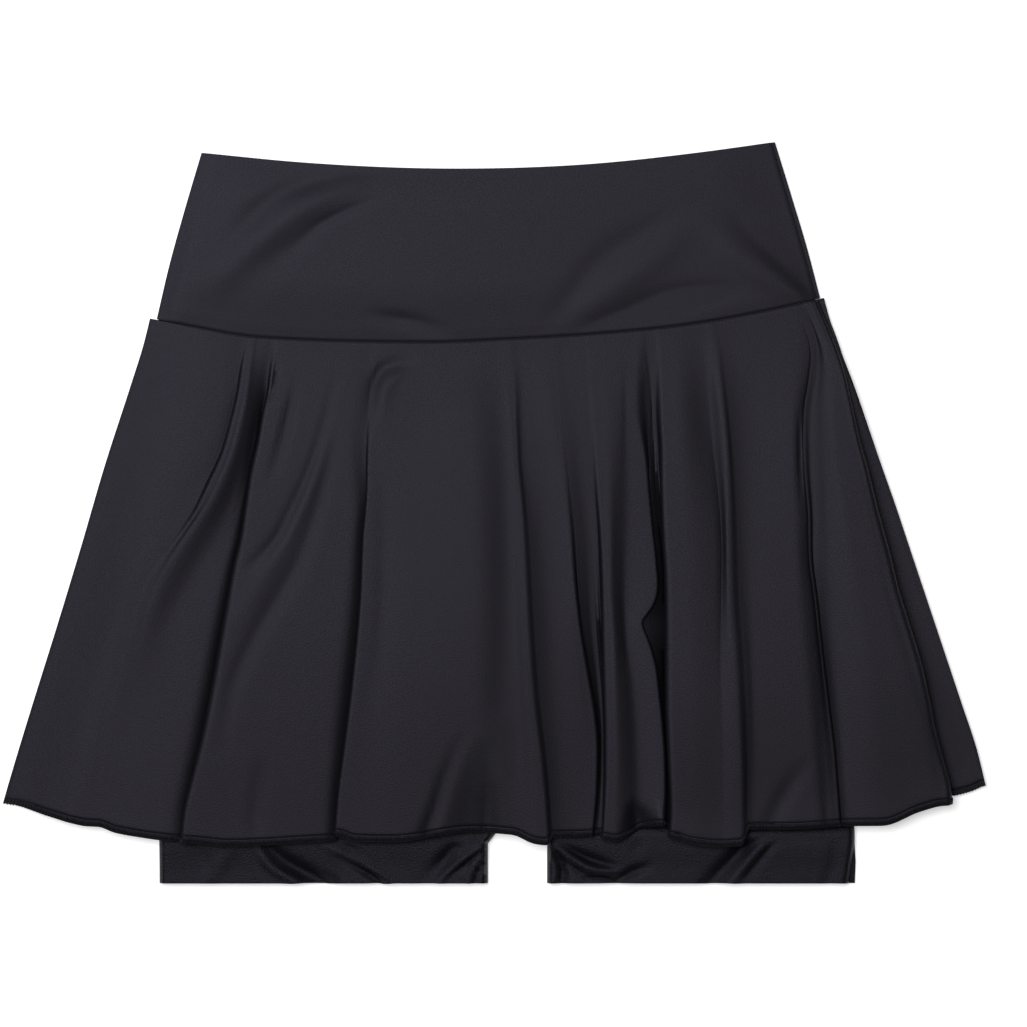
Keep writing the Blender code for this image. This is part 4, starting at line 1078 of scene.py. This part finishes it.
class SkortLook(bpy.types.PropertyGroup):
    """Colours and finish of the skort's cloths and threads."""

    band_colour: tint("Waistband", "Dye of the waistband", (0.0042, 0.0038, 0.0052))
    skirt_colour: tint("Skirt", "Dye of the skirt", (0.0042, 0.0038, 0.0052))
    shorts_colour: tint("Shorts", "Dye of the inner shorts", (0.0036, 0.0034, 0.0048))
    thread_colour: tint("Thread", "Dye of the sewing thread", (0.0040, 0.0038, 0.0055))
    hem_thread_colour: tint("Hem thread", "Dye of the overlock thread", (0.0110, 0.0105, 0.0140))
    shine_colour: tint("Shine", "Tint of the light that fibres throw back", (0.86, 0.80, 1.0))
    satin: amount("Satin", "Roughness of the jersey's face", 0.5, 0.0, 1.0, subtype="FACTOR")
    gloss: amount("Gloss", "Specular level of the fibres", 0.22, 0.0, 1.0, subtype="FACTOR")
    thread_shine: amount("Thread shine", "Specular level of the thread as a share of the cloth's", 0.35,
                         0.0, 2.0)
    clouds: amount("Clouds", "Strength of soft changes in the dye", 0.10, 0.0, 1.0, subtype="FACTOR")
    knit_relief: amount("Knit relief", "Depth of the knit in mm", 0.05, 0.0, 0.5)
    grain_relief: amount("Grain relief", "Strength of uneven yarn in the relief", 44.0, 0.0, 200.0)


class StudioSettings(bpy.types.PropertyGroup):
    """Camera and light over the table."""

    camera_height: amount("Camera height", "Height of the camera over the table", 4.0, 0.5, 8.0,
                          unit="LENGTH")
    view_width: amount("View width", "Width of the table that the camera sees", 0.6162, 0.1, 3.0,
                       unit="LENGTH")
    lamp_width: amount("Lamp width", "Width of the soft lamp", 2.2, 0.1, 6.0, unit="LENGTH")
    lamp_power: amount("Lamp power", "Power of the soft lamp", 108.0, 0.0, 1000.0, unit="POWER")
    corner_power: amount("Corner lamp", "Power of the small cool lamp by the waist", 1.2, 0.0, 100.0,
                         unit="POWER")
    room_light: amount("Room light", "Strength of the light from all sides", 0.05, 0.0, 5.0)


class SKORT_OT_waistband(bpy.types.Operator):
    """Lay the two-layer waistband, back and front"""

    bl_idname = "skort.waistband"
    bl_label = "Waistband"

    def execute(self, context):
        sizes, look = context.scene.skort_sizes, context.scene.skort_look
        cloth = jersey("waistband_jersey", look.band_colour, look, BAND_KNIT)
        even = np.linspace(0.0, 1.0, BAND_COLUMNS + 1)
        back = band_rows(BAND_LEFT, BAND_RIGHT, np.unique(np.append(even, NEAR_BAND_RIGHT)))
        front = band_rows(BAND_LEFT, BAND_SIDE_SEAM, even, band_front_underside)
        lay_cloth("waistband_back", back, sizes.band_wall, cloth, BAND_RIM)
        lay_cloth("waistband_front", front, sizes.band_wall, cloth, BAND_RIM)
        return {"FINISHED"}


class SKORT_OT_shorts(bpy.types.Operator):
    """Lay the inner shorts' four panels with the wrinkles of their legs"""

    bl_idname = "skort.shorts"
    bl_label = "Inner shorts"

    def execute(self, context):
        sizes, look = context.scene.skort_sizes, context.scene.skort_look
        cloth = jersey("shorts_jersey", look.shorts_colour, look, SHORTS_KNIT)
        legs = {
            "left": (-1, LEFT_OUTER, LEFT_INSEAM, 0.0, LEFT_LEG_CREASES),
            "right": (1, RIGHT_OUTER, RIGHT_INSEAM, BACK_LEG_SHOWS, RIGHT_LEG_CREASES),
        }
        for name, (side, outer, inseam, shows, creases) in legs.items():
            back = shorts_rows(side, outer, inseam, SHORTS_BACK_LAY, shows)
            front = shorts_rows(side, outer, inseam, SHORTS_FRONT_LAY, creases=creases)
            lay_cloth("shorts_back_" + name, back, sizes.jersey_wall, cloth)
            lay_cloth("shorts_front_" + name, front, sizes.jersey_wall, cloth)
        return {"FINISHED"}


class SKORT_OT_skirt_back(bpy.types.Operator):
    """Lay the skirt's back with its overlocked hem"""

    bl_idname = "skort.skirt_back"
    bl_label = "Skirt back"

    def execute(self, context):
        lay_skirt(context.scene, "skirt_back", skirt_back_rows())
        return {"FINISHED"}


class SKORT_OT_skirt_front(bpy.types.Operator):
    """Lay the skirt's front in its folds, with its overlocked hem"""

    bl_idname = "skort.skirt_front"
    bl_label = "Skirt front"

    def execute(self, context):
        lay_skirt(context.scene, "skirt_front", skirt_front_rows())
        return {"FINISHED"}


def lay_skirt(scene, node, rows):
    """The skirt's front or back, with the looper and needle threads of its hem."""
    sizes, look = scene.skort_sizes, scene.skort_look
    flecked = sewing_thread("hem_thread", look.hem_thread_colour, look, HEM_FLECKS)
    plain = sewing_thread("seam_thread", look.thread_colour, look, SEAM_FLECKS)
    looper = thread(node + "_overlock", overlock_points(rows, sizes.jersey_wall, sizes),
                    sizes.thread_thickness, flecked)
    needle = thread(node + "_needle_row", needle_points(rows, sizes.jersey_wall, sizes),
                    sizes.thread_thickness * NEEDLE_SHARE, plain)
    cloth = jersey("skirt_jersey", look.skirt_colour, look, SKIRT_KNIT)
    lay_cloth(node, rows, sizes.jersey_wall, cloth)


class SKORT_OT_seams(bpy.types.Operator):
    """Lay the thread in the waist seam"""

    bl_idname = "skort.seams"
    bl_label = "Waist seam"

    def execute(self, context):
        look = context.scene.skort_look
        material = sewing_thread("seam_thread", look.thread_colour, look, SEAM_FLECKS)
        x = np.arange(WAIST_FROM_X, WAIST_TO_X, WAIST_STEP)
        risen = smoothstep(np.minimum(x - WAIST_ENDS[0], WAIST_ENDS[1] - x) / WAIST_RISES_OVER)
        z = WAIST_LOW + (WAIST_LEVEL - WAIST_LOW) * risen + WAIST_BEAD * np.sin(x * WAIST_BEAD_TURN)
        thread("waist_seam", np.stack([x, seam_y(x), z], axis=1), WAIST_THREAD, material)
        return {"FINISHED"}


class SKORT_OT_studio(bpy.types.Operator):
    """Set up the table, the lamps and the camera straight above"""

    bl_idname = "skort.studio"
    bl_label = "Studio"

    def execute(self, context):
        studio = context.scene.skort_studio
        bpy.ops.mesh.primitive_plane_add(size=TABLE_WIDTH, location=(0.0, 0.0, TABLE_Z * MM))
        table = context.active_object
        table.name = table.data.name = "table"
        table.data.materials.append(table_top())
        add_lamp("soft_lamp", LAMP_PLACE, studio.lamp_width, studio.lamp_power, WHITE)
        add_lamp("corner_lamp", CORNER_LAMP_PLACE, CORNER_LAMP_WIDTH, studio.corner_power,
                 CORNER_LAMP_COLOUR)
        add_camera(studio)
        light_room(context.scene, studio)
        return {"FINISHED"}


def add_lamp(name, place, width, power, colour):
    """A square soft lamp that looks at the middle of the table."""
    lamp = bpy.data.lights.new(name, "AREA")
    lamp.shape, lamp.size = "SQUARE", width
    lamp.energy, lamp.color = power, colour
    holder = bpy.data.objects.new(name, lamp)
    holder.location = place
    holder.rotation_euler = (-Vector(place)).to_track_quat("-Z", "Y").to_euler()
    holder.visible_camera = False
    bpy.context.scene.collection.objects.link(holder)


def add_camera(studio):
    """Camera straight above the skort, with its top towards the waist."""
    camera = bpy.data.cameras.new("camera")
    camera.sensor_fit, camera.sensor_width = "HORIZONTAL", SENSOR_WIDTH
    camera.lens = SENSOR_WIDTH * studio.camera_height / studio.view_width
    camera.clip_end = FARTHEST_VIEW
    holder = bpy.data.objects.new("camera", camera)
    holder.location = (*VIEW_CENTRE, studio.camera_height)
    bpy.context.scene.collection.objects.link(holder)
    bpy.context.scene.camera = holder


def light_room(scene, studio):
    """Even white room and a plain rendering of its tones."""
    world = bpy.data.worlds.new("room")
    world.use_nodes = True
    sky = world.node_tree.nodes["Background"]
    sky.inputs["Color"].default_value = (*WHITE, 1.0)
    sky.inputs["Strength"].default_value = studio.room_light
    scene.world = world
    scene.view_settings.view_transform = "Standard"
    scene.view_settings.look = "None"


class SKORT_PT_panel(bpy.types.Panel):
    """Builds the skort piece by piece"""

    bl_label = "Tennis Skort"
    bl_space_type = "VIEW_3D"
    bl_region_type = "UI"
    bl_category = "Skort"

    def draw(self, context):
        column = self.layout.column()
        for settings in (context.scene.skort_sizes, context.scene.skort_look, context.scene.skort_studio):
            for name in settings.__annotations__:
                column.prop(settings, name)
        for operator in OPERATORS:
            column.operator(operator.bl_idname)


SETTINGS = {"skort_sizes": SkortSizes, "skort_look": SkortLook, "skort_studio": StudioSettings}
OPERATORS = (SKORT_OT_studio, SKORT_OT_skirt_back, SKORT_OT_waistband, SKORT_OT_shorts, SKORT_OT_skirt_front,
             SKORT_OT_seams)


def register():
    """Register the settings, the operators and the panel."""
    for name, settings in SETTINGS.items():
        bpy.utils.register_class(settings)
        setattr(bpy.types.Scene, name, PointerProperty(type=settings))
    for operator in OPERATORS:
        bpy.utils.register_class(operator)
    bpy.utils.register_class(SKORT_PT_panel)


def unregister():
    """Take the panel, the operators and the settings out again."""
    bpy.utils.unregister_class(SKORT_PT_panel)
    for operator in reversed(OPERATORS):
        bpy.utils.unregister_class(operator)
    for name, settings in SETTINGS.items():
        delattr(bpy.types.Scene, name)
        bpy.utils.unregister_class(settings)


def main():
    """Build the whole scene."""
    register()
    bpy.ops.skort.studio()
    bpy.ops.skort.skirt_back()
    bpy.ops.skort.waistband()
    bpy.ops.skort.shorts()
    bpy.ops.skort.skirt_front()
    bpy.ops.skort.seams()


if __name__ == "__main__":
    main()
